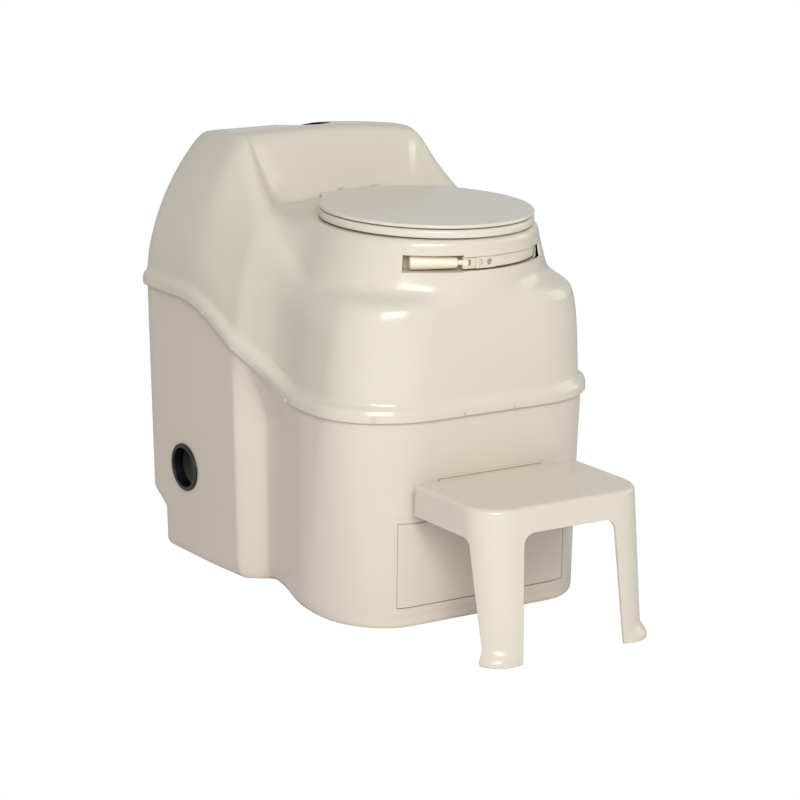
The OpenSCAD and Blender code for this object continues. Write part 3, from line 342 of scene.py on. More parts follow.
class Shop:
    """Makes each material once, from shared node groups that give masks and normals."""

    def __init__(self) -> None:
        """Makes the two node groups that all the materials share."""
        self.wear = self._wear_group()
        self.surface = self._surface_group()
        self.made: dict[str, bpy.types.Material] = {}

    @staticmethod
    def _group(name: str, inputs: dict[str, float], outputs: dict[str, str]) -> tuple:
        """An empty node group, from its inputs' defaults and its outputs' socket types."""
        tree = bpy.data.node_groups.new(name, "ShaderNodeTree")
        for label, default in inputs.items():
            socket = tree.interface.new_socket(
                label, in_out="INPUT", socket_type="NodeSocketFloat"
            )
            socket.default_value = default
        for label, kind in outputs.items():
            tree.interface.new_socket(label, in_out="OUTPUT", socket_type=kind)
        return tree, tree.nodes.new("NodeGroupInput"), tree.nodes.new("NodeGroupOutput")

    def _wear_group(self) -> bpy.types.NodeTree:
        """Two masks: broad clouds in the moulding, and fine specks of dust and handling."""
        tree, start, end = self._group(
            "MouldClouds",
            {"Scale": 6.0},
            {"Clouds": "NodeSocketFloat", "Specks": "NodeSocketFloat"},
        )
        place = add_node(tree, "TexCoord")
        broad = add_node(tree, "TexNoise", Detail=3.0)
        fine = add_node(tree, "TexNoise", Scale=420.0, Detail=2.0)
        wire(
            tree,
            (place, "Object", broad, "Vector"),
            (place, "Object", fine, "Vector"),
            (start, "Scale", broad, "Scale"),
            (broad, "Fac", end, "Clouds"),
            (fine, "Fac", end, "Specks"),
        )
        return tree

    def _surface_group(self) -> bpy.types.NodeTree:
        """A normal: edges softened by a radius, then the faint ripple of a moulded sheet."""
        tree, start, end = self._group(
            "MouldedSurface",
            {"Radius": 0.001, "Ripple": 0.0002, "Peel": 0.00001},
            {"Normal": "NodeSocketVector"},
        )
        place = add_node(tree, "TexCoord")
        edge = add_node(tree, "Bevel")
        edge.samples = 6
        waves = add_node(tree, "TexNoise", Scale=9.0, Detail=1.0)
        skin = add_node(tree, "TexNoise", Scale=260.0, Detail=1.0)
        bump = add_node(tree, "Bump", Strength=1.0)
        peel = add_node(tree, "Bump", Strength=1.0)
        wire(
            tree,
            (start, "Radius", edge, "Radius"),
            (place, "Object", waves, "Vector"),
            (place, "Object", skin, "Vector"),
            (waves, "Fac", bump, "Height"),
            (start, "Ripple", bump, "Distance"),
            (edge, "Normal", bump, "Normal"),
            (skin, "Fac", peel, "Height"),
            (start, "Peel", peel, "Distance"),
            (bump, "Normal", peel, "Normal"),
            (peel, "Normal", end, "Normal"),
        )
        return tree

    def material(self, slot: str) -> bpy.types.Material:
        """The material of a record slot, made on first use."""
        if slot in self.made:
            return self.made[slot]
        finish = FINISHES[slot]
        mat = bpy.data.materials.new(slot)
        mat.use_nodes = True
        tree = mat.node_tree
        shader = tree.nodes["Principled BSDF"]
        shader.inputs["Metallic"].default_value = finish.metallic
        shader.inputs["IOR"].default_value = PLASTIC_IOR
        wear = add_node(tree, "Group")
        wear.node_tree = self.wear
        surface = add_node(tree, "Group")
        surface.node_tree = self.surface
        surface.inputs["Radius"].default_value = max(finish.rounding, LEAST_ROUNDING) * MM
        surface.inputs["Ripple"].default_value = finish.ripple * MM
        surface.inputs["Peel"].default_value = PEEL_HEIGHT * MM
        tint = add_node(tree, "Mix")
        tint.data_type = "RGBA"
        base = np.array(finish.colour)
        tint.inputs[6].default_value = (*(base * (1 - finish.variation)), 1)
        tint.inputs[7].default_value = (*np.minimum(base * (1 + finish.variation), 1), 1)
        rough = add_node(
            tree,
            "MapRange",
            To_Min=finish.roughness * 0.9,
            To_Max=min(1.0, finish.roughness * 1.15),
        )
        wire(
            tree,
            (wear, "Clouds", tint, 0),
            (tint, 2, shader, "Base Color"),
            (wear, "Specks", rough, "Value"),
            (rough, "Result", shader, "Roughness"),
            (surface, "Normal", shader, "Normal"),
        )
        self.made[slot] = mat
        return mat


# ---------------------------------------------------------------------------------------
# The casing's shape
# ---------------------------------------------------------------------------------------
@dataclass(frozen=True)
class CasingSizes:
    """Sizes of the moulded casing, in millimetres.

    The last group isn't in the CAD part: it follows the photograph more closely.
    """

    back_y: float = 463.0
    front_y: float = -217.0
    back_half: float = 279.0
    back_half_base: float = 258.0
    front_half: float = 263.0
    front_half_base: float = 261.0
    seam_back_z: float = 482.0
    seam_front_z: float = 358.0
    seam_rise_front: float = 194.0
    seam_rise_back: float = 136.0
    back_corner: float = 16.0
    front_corner_w: float = 150.0
    front_corner_d: float = 120.0
    groove_from_back: float = 313.0
    groove_deep: float = 42.0
    groove_shallow: float = 5.0
    groove_slope: float = 38.0
    groove_floor: float = 4.0
    wall: float = 5.0
    recess_h: float = 88.0
    recess_d: float = 42.0
    recess_soft: float = 20.0
    lip_out: float = 8.0
    lip_h: float = 22.0
    hump_z: float = 767.0
    hump_half: float = 184.0
    hump_back_in: float = 40.0
    hump_d: float = 178.0
    hump_fall: float = 14.0
    hump_lean: float = 1.9
    shoulder_z: float = 549.0
    shoulder_in: float = 31.0
    ridge_from_front: float = 157.0
    ridge_power: float = 2.1
    deck_z: float = 655.0
    deck_back: float = 252.0
    deck_half: float = 192.0
    neck_half: float = 224.0
    neck_front: float = 199.0
    seat_y: float = -20.0
    bowl_half_w: float = 130.0
    bowl_half_l: float = 143.0

    groove_forward: float = 24.0
    flank_run: float = 190.0
    foot_corner_w: float = 118.0
    foot_corner_d: float = 160.0
    hump_aside: float = 8.0
    crown_rise: float = 5.0
    crown_sag: float = 5.5

    @property
    def groove_y(self) -> float:
        """y of the groove as the solids have it."""
        return self.back_y - self.groove_from_back

    @property
    def hump_y(self) -> float:
        """y of the hump's front edge."""
        return self.back_y - self.hump_d


class Outline:
    """The half outline that both halves of the casing share, as stations along stretches.

    The groove's stretch reaches from BEHIND_GROOVE to BEFORE_GROOVE about its line, and
    the half width changes from NARROWING before it. The groove fades from FADE_BELOW to
    FADE_ABOVE about the front seam's height. FRONT_TO_HUMP is the span of depths over
    which the front's form gives way to the hump's.
    """

    BEHIND_GROOVE = 42.0
    BEFORE_GROOVE = 70.0
    FADE_BELOW = 70.0
    FADE_ABOVE = 60.0
    NARROWING = 60.0
    FRONT_TO_HUMP = (60.0, 300.0)

    STRETCHES = (
        ("back", 18),
        ("back_corner", 8),
        ("side", 16),
        ("groove", 38),
        ("flank", 16),
        ("front_corner", 40),
        ("front", 26),
    )

    def __init__(self, sizes: CasingSizes) -> None:
        """Lays the stations out and works out the seam's height at each."""
        self.s = sizes
        self.groove = sizes.groove_y - sizes.groove_forward
        names, shares = [], []
        for name, n in self.STRETCHES:
            names += [name] * n
            shares.append(np.arange(n) / n)
        names.append("front")
        shares.append(np.ones(1))
        self.names = np.array(names)
        self.t = np.concatenate(shares)
        _, self.rest_y = self.point(np.full(len(self.t), sizes.seam_front_z), 0.0)
        self.seam = self.seam_height(self.rest_y)

    def seam_height(self, y: np.ndarray) -> np.ndarray:
        """Height of the S-shaped seam over the depth: a smooth step from front to back."""
        s = self.s
        rise = ease(s.front_y + s.seam_rise_front, s.back_y - s.seam_rise_back, y)
        return mix(s.seam_front_z, s.seam_back_z, rise)

    def half_back(self, z: Value, o: float) -> Value:
        """Half width behind the groove, which grows evenly up to the seam, moved out by o."""
        return mix(self.s.back_half_base, self.s.back_half, z / self.s.seam_back_z) + o

    def half_front(self, z: Value, o: float) -> Value:
        """Half width before the groove, which grows evenly up to the seam, moved out by o."""
        return mix(self.s.front_half_base, self.s.front_half, z / self.s.seam_front_z) + o

    def back_wall(self, z: Value, o: float) -> Value:
        """y of the back, set in below the recess's height, moved out by o."""
        s = self.s
        above = ease(s.recess_h - s.recess_soft, s.recess_h + s.recess_soft, z)
        return s.back_y + o - s.recess_d * (1 - above)

    def corner(self, z: Value) -> tuple[Value, Value]:
        """Width and depth of the front corner's ellipse, narrower and longer at the foot."""
        s = self.s
        k = np.clip(z / s.seam_front_z, 0, 1)
        return (
            mix(s.foot_corner_w, s.front_corner_w, k),
            mix(s.foot_corner_d, s.front_corner_d, k),
        )

    def front_wall(self, x: np.ndarray, z: np.ndarray) -> np.ndarray:
        """y of the front wall and its corners at x and z, where a corner is an ellipse."""
        rw, rd = self.corner(z)
        u = np.clip((np.abs(x) - self.half_front(z, 0) + rw) / rw, 0, 0.999)
        return self.s.front_y + rd * (1 - np.sqrt(1 - u**2))

    def side_x(self, y: np.ndarray, z: np.ndarray, o: float) -> np.ndarray:
        """Half width beside the back, the groove and the flank: the wall less the groove."""
        s, g = self.s, self.groove
        low = ease(s.seam_front_z - self.FADE_BELOW, s.seam_front_z + self.FADE_ABOVE, z)
        depth = mix(s.groove_deep, s.groove_shallow, low)
        behind = ease(g - self.NARROWING, g + s.groove_slope, y)
        wide = mix(self.half_back(z, o), self.half_front(z, o), 1 - behind)
        into = 1 - ease(g - s.groove_floor, g + s.groove_slope, y)
        return wide - depth * into * ease(g - s.flank_run, g - s.groove_floor, y)

    def point(self, z: np.ndarray, o: float) -> tuple[np.ndarray, np.ndarray]:
        """x and y of every station at heights z, moved out by o."""
        s, t = self.s, self.t
        r = s.back_corner + o
        yb, hb, hf = self.back_wall(z, o), self.half_back(z, o), self.half_front(z, o)
        g0, g1 = self.groove + self.BEHIND_GROOVE, self.groove - self.BEFORE_GROOVE
        rw, rd = self.corner(z)
        y_corner = s.front_y + rd
        rw, rd = rw + o, rd + o
        turn = np.radians(90 * t)
        y_groove = mix(g0, g1, t)
        y_flank = mix(g1, y_corner, t)
        table = {
            "back": ((hb - r) * t, yb),
            "back_corner": (hb - r + r * np.sin(turn), yb - r + r * np.cos(turn)),
            "side": (hb + 0 * t, mix(yb - r, g0, t)),
            "groove": (self.side_x(y_groove, z, o), y_groove),
            "flank": (self.side_x(y_flank, z, o), y_flank),
            "front_corner": (hf - rw + rw * np.cos(turn), y_corner - rd * np.sin(turn)),
            "front": ((hf - rw) * (1 - t), s.front_y - o + 0 * t),
        }
        x, y = np.zeros_like(t), np.zeros_like(t)
        for name, (px, py) in table.items():
            at = self.names == name
            x[at] = np.broadcast_to(px, t.shape)[at]
            y[at] = np.broadcast_to(py, t.shape)[at]
        return x, y

    def frontness(self, y: np.ndarray) -> np.ndarray:
        """1 round the front of the casing and 0 along the hump."""
        return 1 - ease(*self.FRONT_TO_HUMP, y)

    def ring(self, z: Value, o: float) -> np.ndarray:
        """Half ring (stations, 3) at heights z, moved out by o."""
        z = np.broadcast_to(np.asarray(z, float), self.t.shape)
        x, y = self.point(z, o)
        return np.stack([x, y, z], -1)

    @staticmethod
    def whole(half: np.ndarray) -> np.ndarray:
        """Half rings (..., stations, 3) mirrored into whole ones."""
        other = half[..., -2:0:-1, :] * np.array([-1.0, 1.0, 1.0])
        return np.concatenate([half, other], axis=-2)


def kernel(reach: float, taps: int) -> tuple[np.ndarray, np.ndarray]:
    """Offsets u from -reach to reach, and their weights exp(-u^2 / 2), which sum to 1."""
    u = np.linspace(-reach, reach, taps)
    weight = np.exp(-(u**2) / 2)
    return u, weight / weight.sum()


def averaged(
    s: np.ndarray, length: np.ndarray, points: np.ndarray, weight: np.ndarray
) -> np.ndarray:
    """Weighted means of a polyline at lengths s, (rows, taps), over its own length."""
    return np.stack(
        [(np.interp(s, length, points[:, k]) * weight).sum(1) for k in range(3)], -1
    )


def smoothed_rows(rows: np.ndarray, at: np.ndarray, sigma: np.ndarray) -> np.ndarray:
    """Columns of a grid resampled and rounded along their own length.

    Each column is a polyline P(s) over its arc length s. The result at a length s is the
    mean of P(s + u) over u with weights exp(-u^2 / (2 sigma^2)), so that every corner
    becomes a fillet about 1.6 sigma in radius. The kernel shrinks towards both ends, so
    that the ends stay where they are.

    Args:
        rows: the polylines, (rows, columns, 3).
        at: row positions to keep, as fractional row numbers.
        sigma: the kernel's width in millimetres at each of those rows, (rows, columns).

    Returns:
        The new grid (len(at), columns, 3).
    """
    steps = np.linalg.norm(np.diff(rows, axis=0), axis=-1)
    length = np.concatenate([np.zeros((1, rows.shape[1])), np.cumsum(steps, 0)])
    index = np.arange(rows.shape[0])
    u, weight = kernel(2.2, 13)
    out = np.empty((len(at), rows.shape[1], 3))
    for c in range(rows.shape[1]):
        here = np.interp(at, index, length[:, c])
        s = here[:, None] + u[None, :] * sigma[:, c][:, None]
        s = np.clip(s, 0, length[-1, c])
        room = np.minimum(here, length[-1, c] - here)[:, None]
        s = here[:, None] + np.clip(s - here[:, None], -room, room)
        grow = length[:, c] + index * 1e-9
        out[:, c] = averaged(s, grow, rows[:, c], weight)
    return out


def smoothed_ring(grid: np.ndarray, sigma: np.ndarray) -> np.ndarray:
    """Rings of a grid rounded along their own closed length, as in smoothed_rows.

    Args:
        grid: (rows, columns, 3); each row is a closed ring.
        sigma: the kernel's width in millimetres, (rows, columns).
    """
    u, weight = kernel(2.0, 9)
    steps = np.linalg.norm(np.roll(grid, -1, 1) - grid, axis=-1)
    new = np.empty_like(grid)
    for r, ring in enumerate(grid):
        total = steps[r].sum()
        s0 = np.concatenate([[0], np.cumsum(steps[r])])[:-1]
        long = np.concatenate([s0 - total, s0, s0 + total])
        s = s0[:, None] + u[None, :] * sigma[r][:, None]
        new[r] = averaged(s, long, np.concatenate([ring] * 3), weight)
    return new


def grid_normals(grid: np.ndarray) -> np.ndarray:
    """Unit normals of a grid of closed rings, (rows, columns, 3)."""
    along = np.roll(grid, -1, 1) - np.roll(grid, 1, 1)
    up = np.empty_like(grid)
    up[1:-1] = grid[2:] - grid[:-2]
    up[0], up[-1] = grid[1] - grid[0], grid[-1] - grid[-2]
    return unit(np.cross(up, along))


@dataclass(frozen=True)
class CrestSizes:
    """What shapes the crest, the neck and the deck's edge, in millimetres.

    Each span is a pair of depths between which one form blends into the next.
    """

    ridge_stop: float = 20.0
    crown_blend: float = 60.0
    front_tuck: float = 4.0
    neck_gap: float = 2.0
    top_share: float = 0.95
    top_bow: float = 25.0
    top_run: float = 0.04
    neck_to_hump: Span = (-40.0, 110.0)
    inner_up: float = 5.0
    front_up: float = 14.0
    front_span: Span = (-110.0, -20.0)
    deck_gap: float = 4.0
    deck_round: float = 6.0
    deck_span: Span = (80.0, 270.0)
    wall_foot: float = 6.0
    lip_edge: float = 1.2
    lip_bevel: float = 3.0


class UpperShape:
    """The upper casing's outer surface: lip, wall, crest, neck and deck, as one grid.

    COUNTS are the grid's rows between its marks: the lip's four corners, the wall's foot,
    the crest's two edges, the neck's top, the deck and the bowl's edge. WIDTHS are the
    smoothing kernel's widths at the marks, in millimetres: fine at the lip, broad at the
    crest.
    """

    COUNTS = (5, 4, 4, 4, 40, 14, 32, 6, 5)
    WIDTHS = (0.5, 0.8, 1.5, 3.0, 5.0, 10.0, 9.0, 3.0, 2.5, 0.2)

    def __init__(self, outline: Outline, crest: CrestSizes = CrestSizes()) -> None:
        """Works out the seam and the crest's two edges."""
        self.o = outline
        self.s = outline.s
        self.c = crest
        x0, y0 = outline.point(outline.seam, 0.0)
        self.seam = np.stack([x0, y0, outline.seam], -1)
        self.front = outline.frontness(self.seam[:, 1])
        self.crest_out = self._crest_out()
        self.crest_in = self._crest_in()

    def ridge(self, y: np.ndarray, z0: float) -> np.ndarray:
        """Height of the crest over the depth: a power curve up to the hump."""
        s = self.s
        y0 = s.front_y + s.ridge_from_front
        share = np.clip((y - y0) / (s.hump_y - self.c.ridge_stop - y0), 0, 1)
        return mix(z0, s.hump_z, share**s.ridge_power)

    def drop(self, y: np.ndarray) -> np.ndarray:
        """How far the hump's crowned top has fallen: a square of the way to its back."""
        s = self.s
        share = np.clip((y - s.hump_y) / (s.back_y - s.hump_back_in - s.hump_y), 0, 1)
        return s.hump_fall * share**2

    def crest_mid(self, k: float) -> np.ndarray:
        """A ring between the crest's edges, raised along the hump to its crowned top."""
        s, p = self.s, mix(self.crest_out, self.crest_in, k)
        w = ease(s.hump_y - self.c.crown_blend, s.hump_y, self.crest_out[:, 1])
        p[:, 2] = mix(p[:, 2], s.hump_z - self.drop(p[:, 1]), w)
        return p

    def _crest_out(self) -> np.ndarray:
        """The crest's outer edge: the seam drawn in, at the ridge's height."""
        s, p = self.s, self.seam
        y = (
            p[:, 1]
            - s.hump_back_in * ease(s.groove_y, s.back_y, p[:, 1])
            + self.c.front_tuck * (1 - ease(s.front_y, 0, p[:, 1]))
        )
        share = mix(s.hump_half / s.back_half, 1 - s.shoulder_in / s.front_half, self.front)
        return np.stack([p[:, 0] * share, y, self.ridge(y, s.shoulder_z) - self.drop(y)], -1)

    def _crest_in(self) -> np.ndarray:
        """The crest's inner edge: an ellipse round the neck, and the hump's front behind it."""
        s, c, p = self.s, self.c, self.crest_out
        mid = s.front_y + c.neck_gap + s.neck_front
        a = np.arctan2(p[:, 1] - mid, p[:, 0])
        r = 1 / np.sqrt((np.cos(a) / s.neck_half) ** 2 + (np.sin(a) / s.neck_front) ** 2)
        ax, ay = r * np.cos(a), mid + r * np.sin(a)
        bx = c.top_share * p[:, 0]
        y1 = s.hump_y - c.top_bow * (bx / s.hump_half) ** 2
        by = np.minimum(p[:, 1], y1) + c.top_run * np.maximum(0, p[:, 1] - y1)
        w = 1 - ease(*c.neck_to_hump, p[:, 1])
        z = self.ridge(np.minimum(p[:, 1], by), s.shoulder_z + c.inner_up)
        z = z + c.front_up * (1 - ease(*c.front_span, p[:, 1]))
        return np.stack([mix(bx, ax, w), mix(by, ay, w), z], -1)

    def _about_seat(
        self, half_w: float, front: float, back: float, square: bool, z: float
    ) -> np.ndarray:
        """A ring about the seat's middle at the angles of the crest's inner edge.

        It is a superellipse whose power grows from 2 to 4.2 towards the back if square.
        """
        s, p = self.s, self.crest_in
        a = np.arctan2(p[:, 1] - s.seat_y, np.maximum(p[:, 0], 0))
        cs, sn = np.cos(a), np.sin(a)
        k = np.where((sn > 0) & square, 2 + 2.2 * ease(0, 1, sn), 2.0)
        hl = np.where(sn > 0, back, front)
        r = ((np.abs(cs) / half_w) ** k + (np.abs(sn) / hl) ** k) ** (-1 / k)
        return np.stack([r * cs, s.seat_y + r * sn, np.full_like(r, z)], -1)

    def deck(self, inset: float, z: float) -> np.ndarray:
        """The deck's outline at a height, set in from its edge."""
        s = self.s
        front = s.seat_y - s.front_y - self.c.deck_gap - inset
        return self._about_seat(s.deck_half - inset, front, s.deck_back - inset, True, z)

    def bowl(self, z: float) -> np.ndarray:
        """The bowl's opening at a height, an ellipse."""
        s = self.s
        return self._about_seat(s.bowl_half_w, s.bowl_half_l, s.bowl_half_l, False, z)

    def outer_wall(self, v: float) -> np.ndarray:
        """The wall at a share v of the way up: it leans in by a power of v."""
        a = self.seam + np.array([0, 0, self.s.lip_h + self.c.wall_foot])
        b = self.crest_out
        h = mix(v**self.s.hump_lean, 0.45 * v + 0.55 * v**5, self.front)
        x = mix(a[:, 0] * (1 - 0.03 * self.front), b[:, 0], h)
        return np.stack([x, mix(a[:, 1], b[:, 1], h), mix(a[:, 2], b[:, 2], v)], -1)

    def neck_wall(self, v: float) -> np.ndarray:
        """The neck at a share v of the way from the crest to the deck."""
        a, b = self.crest_in, self.deck(0, self.s.deck_z - self.c.deck_round)
        w = ease(*self.c.deck_span, self.seam[:, 1])
        h = mix(v**0.9, v, w)
        up = mix(v, 1 - (1 - v) ** 1.5, w)
        return np.stack([mix(a[:, i], b[:, i], k) for i, k in enumerate((h, h, up))], -1)

    def lip(self, dz: float, o: float) -> np.ndarray:
        """The lip's ring at a height over the seam, moved out by o."""
        return self.o.ring(self.o.seam + dz, o)

    def grid(self) -> np.ndarray:
        """The smooth outer surface as whole rings, from the lip's foot to the bowl's edge."""
        s, c = self.s, self.c
        rows = [
            self.lip(0.0, s.lip_out - s.wall),
            self.lip(0.0, s.lip_out - c.lip_edge),
            self.lip(c.lip_edge, s.lip_out),
            self.lip(s.lip_h * 0.6, s.lip_out),
            self.lip(s.lip_h, s.lip_out - c.lip_bevel),
        ]
        marks = [0, 2, 3, 4, 5]
        for stretch in (
            [self.outer_wall(v) for v in np.linspace(0, 1, 49)],
            [self.crest_mid(0.35), self.crest_mid(0.7), self.crest_in],
            [self.neck_wall(v) for v in np.linspace(0, 1, 41)[1:]],
            [self.deck(c.deck_round, s.deck_z)],
            [self.bowl(s.deck_z)],
        ):
            rows += stretch
            marks.append(len(rows) - 1)
        rows = self.o.whole(np.stack(rows))
        at = [a + (b - a) * clustered(n) for a, b, n in zip(marks, marks[1:], self.COUNTS)]
        at = np.concatenate(at + [[marks[-1]]])
        sigma = np.interp(at, marks, self.WIDTHS)[:, None] * np.ones((1, rows.shape[1]))
        lifted = ease(marks[4], marks[5], at)[:, None]
        ridge = ease(20, 240, rows[marks[5], :, 1])[None, :]
        after = 1 - ease(marks[6] + 14, marks[7], at)[:, None]
        sigma = sigma * (1 + 0.7 * lifted * ridge * after)
        # the hump's foot runs into the deck in a broad fillet
        foot = ease(marks[6] + 20, marks[7], at) * (1 - ease(marks[8], marks[9], at))
        sigma = sigma * (1 + 2.2 * foot[:, None] * ease(60, 200, rows[marks[7], :, 1])[None, :])
        grid = smoothed_rows(rows, at, sigma)
        round_ring = 3.0 + 9.0 * lifted * after * (0.25 + 0.75 * ridge)
        round_ring = np.where(at[:, None] < marks[4], 1.0, round_ring)
        return self.settled(smoothed_ring(grid, round_ring * np.ones(grid.shape[:2])))

    def settled(self, grid: np.ndarray) -> np.ndarray:
        """The hump as the moulding has it: a little to the left, its crown low on the right.

        Its sides move by hump_aside. The crown gains crown_rise in the middle and on the
        left, and on the right it loses crown_rise + crown_sag times the square of the way.
        """
        s, out = self.s, grid.copy()
        x, y, z = grid[..., 0], grid[..., 1], grid[..., 2]
        on = ease(560, 740, z) * ease(120, 270, y)
        share = np.clip(x / s.hump_half, 0, 1.1)
        out[..., 0] -= on * s.hump_aside * ease(40, 190, np.abs(x))
        out[..., 2] += on * (s.crown_rise - (s.crown_rise + s.crown_sag) * share**2)
        return out


# ---------------------------------------------------------------------------------------
# Sub-assemblies
# ---------------------------------------------------------------------------------------
@dataclass(frozen=True)
class Axes:
    """Places that several sub-assemblies share, in millimetres."""

    vent_y: float = 373.0
    vent_r: float = 49.3
    crank_z: float = 615.0
    neck_r: float = 193.0
    neck_y: float = -19.0
    recess_angle: float = 47.0
    recess_h: float = 28.0
    recess_d: float = 30.0
    rod_y: float = 192.0
    rod_z: float = 665.0


@dataclass
class Assembly:
    """A group of visual pieces that ride on CAD bodies."""

    shop: Shop
    axes: Axes

    def build(self) -> None:
        """Makes the pieces."""
        raise NotImplementedError

    def add(
        self,
        obj: bpy.types.Object,
        body: str,
        slot: str,
        replaces: Sequence[str],
        angle: float = 40.0,
    ) -> None:
        """Gives a piece its finish, its body and the CAD nodes that it stands for.

        Args:
            obj: the piece.
            body: the CAD body that it rides on.
            slot: its material slot in the record.
            replaces: the CAD nodes that it is shown for.
            angle: edges sharper than this many degrees stay sharp.
        """
        obj.data.materials.clear()
        obj.data.materials.append(self.shop.material(slot))
        shade(obj, angle)
        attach(obj, body)
        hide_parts(*replaces)
        LOG.info("%s: %s rides on %s", type(self).__name__, obj.name, body)


@dataclass
class UpperCasing(Assembly):
    """The upper half of the casing, with the hump, the ridge, the neck and the lip."""

    sizes: CasingSizes = CasingSizes()
    skin: float = 4.0
    collar_inner: float = 45.0
    collar_outer: float = 49.0
    collar_foot: float = 691.2
    opening_reach: float = 70.0
    opening_deeper: float = 4.5

    def build(self) -> None:
        """Makes the moulding, a skin between its outer grid and the same grid moved inward."""
        sizes, a = self.sizes, self.axes
        shape = UpperShape(Outline(sizes))
        outer = shape.grid()
        inner = outer - self.skin * grid_normals(outer)
        inner[-1, :, 2] = sizes.deck_z - self.skin
        inner[-1, :, :2] = outer[-1, :, :2]
        last = len(outer) - 1
        inner = inner[np.unique(np.r_[0, 6:last:3, last - 1, last])]
        foot = shape.o.whole(shape.lip(2.0, sizes.lip_out - sizes.wall))[None]
        rings = np.concatenate([outer, inner[::-1][:-1], foot])
        obj = make_object("UpperCasing", lofted(rings, looped=True))
        vent = bar(a.vent_r, 0, 90, Matrix.Translation((0, a.vent_y, 700)), 72)
        combine(obj, [vent, *self.crank_opening()], Cut.AWAY)
        self.add(obj, "casing", "upper_shell", ["upper_casing"])
        self.collar(outer)

    def crank_opening(self) -> list[Shell]:
        """The cuts for the crank in the neck.

        The first follows the trough's inside, so that the casing's skin covers its rim.
        The second closes in round the arm, to the arm's own height.
        """
        a = self.axes
        high = a.recess_h / 2 + 0.2
        radii = (a.neck_r - a.recess_d - self.opening_deeper, a.neck_r + self.opening_reach)
        return [
            arc_block((0.0, a.neck_y), radii, (a.crank_z - under, a.crank_z + over), angles)
            for under, over, angles in (
                (high, high, (-a.recess_angle + 1.6, -15.2)),
                (12.6, 10.8, (-16.0, a.recess_angle - 1.4)),
            )
        ]

    def collar(self, outer: np.ndarray) -> None:
        """The vent's collar, whose top edge follows the crown that it comes out of.

        Each row is a circle of a radius. Its height is either one level or, at each
        point, the crown's height less a drop.
        """
        a, r0, r1, foot = self.axes, self.collar_inner, self.collar_outer, self.collar_foot
        quads = ring_quads(*outer.shape[:2]).tolist()
        tree = BVHTree.FromPolygons(outer.reshape(-1, 3).tolist(), quads)
        t = 2 * np.pi * np.arange(96) / 96

        def crown(x: float, y: float) -> float:
            """The crown's height above a point."""
            return tree.ray_cast((x, y, 1000.0), (0.0, 0.0, -1.0))[0].z

        def level(r: float, z: float) -> np.ndarray:
            """A row at one height."""
            return np.stack([r * np.cos(t), a.vent_y + r * np.sin(t), np.full_like(t, z)], -1)

        def under_crown(r: float, drop: float) -> np.ndarray:
            """A row that lies a drop below the crown."""
            row = level(r, 0.0)
            row[:, 2] = [crown(x, y) - drop for x, y in row[:, :2]]
            return row

        rows = [level(r1, foot), under_crown(r1, 1.2), under_crown(r1 - 0.4, 0.7)]
        rows += [under_crown(r0 + 0.4, 0.7), under_crown(r0, 1.2), level(r0, foot + 4)]
        rows += [level(r0 - 4, foot + 4), level(r0 - 4, foot)]
        obj = make_object("VentCollar", lofted(np.stack(rows), looped=True))
        # The collar is black: partly the pipe's own colour, and partly painted shade that darkens
        # the inside of the deep vent.
        self.add(obj, "casing", "black_plastic", ["vent_collar"])


@dataclass(frozen=True)
class DrawerSizes:
    """Sizes of the drawer's front, of its opening and of the border round it.

    The gap round the front is narrower than the solids'.
    """

    w: float = 346.0
    z: float = 37.0
    h: float = 146.0
    gap: float = 1.0
    edge: float = 2.2
    proud: float = 0.8
    border_half: float = 197.0
    border_z0: float = 20.0
    border_z1: float = 209.0
    border_rise: float = 1.3
    border_slope: float = 3.0


@dataclass(frozen=True)
class StepSizes:
    """Sizes of the step and of its socket in the casing's front."""

    z: float = 257.0
    half: float = 168.0
    gap: float = 22.0
    reach: float = 222.0
    corner: float = 62.0
    splay: float = 3.0
    skirt_h: float = 43.0
    side_skirt_h: float = 53.0
    wall: float = 5.0
    leg_w: float = 74.0
    leg_w_foot: float = 66.0
    leg_d_top: float = 42.0
    leg_d_foot: float = 28.0
    toe: float = 11.0
    shift: float = 8.0
    tongue_w: float = 210.0
    tongue_t: float = 24.0
    socket_half: float = 110.5
    socket_z: float = 225.0
    socket_h: float = 32.0
    socket_d: float = 10.0
    front_y: float = -217.0
    lowest_y: float = -471.0

    @property
    def back_y(self) -> float:
        """y of the tread's back edge."""
        return self.front_y - self.gap

    @property
    def step_front_y(self) -> float:
        """y of the tread's front edge."""
        return self.front_y - self.reach

    @property
    def over(self) -> float:
        """How far the toes reach past the front of the feet."""
        a = np.radians(11.25 * np.arange(9))
        return float(np.max((self.corner + self.toe * np.sin(2 * a)) * np.sin(a)) - self.corner)

    @property
    def lean(self) -> float:
        """How far the feet stand in front of the tread."""
        return -self.lowest_y + self.step_front_y - self.over


@dataclass(frozen=True)
class PortSizes:
    """Sizes and place of the side port, and radii of the holes in the lower casing."""

    z: float = 165.0
    y: float = 337.0
    bore: float = 36.0
    outer: float = 38.4
    flange: float = 43.5
    depth: float = 16.0
    flange_t: float = 4.3
    hole: float = 38.8
    drain_hole: float = 12.3
    gland_hole: float = 9.3

    def frame(self) -> Matrix:
        """The frame of the side port, with +Z out through the leaning wall."""
        s = CasingSizes()
        tilt = math.atan((s.back_half - s.back_half_base) / s.seam_back_z)
        x = -mix(s.back_half_base, s.back_half, self.z / s.seam_back_z)
        turn = Matrix.Rotation(-math.pi / 2 - tilt, 4, "Y")
        return Matrix.Translation((x, self.y, self.z)) @ turn


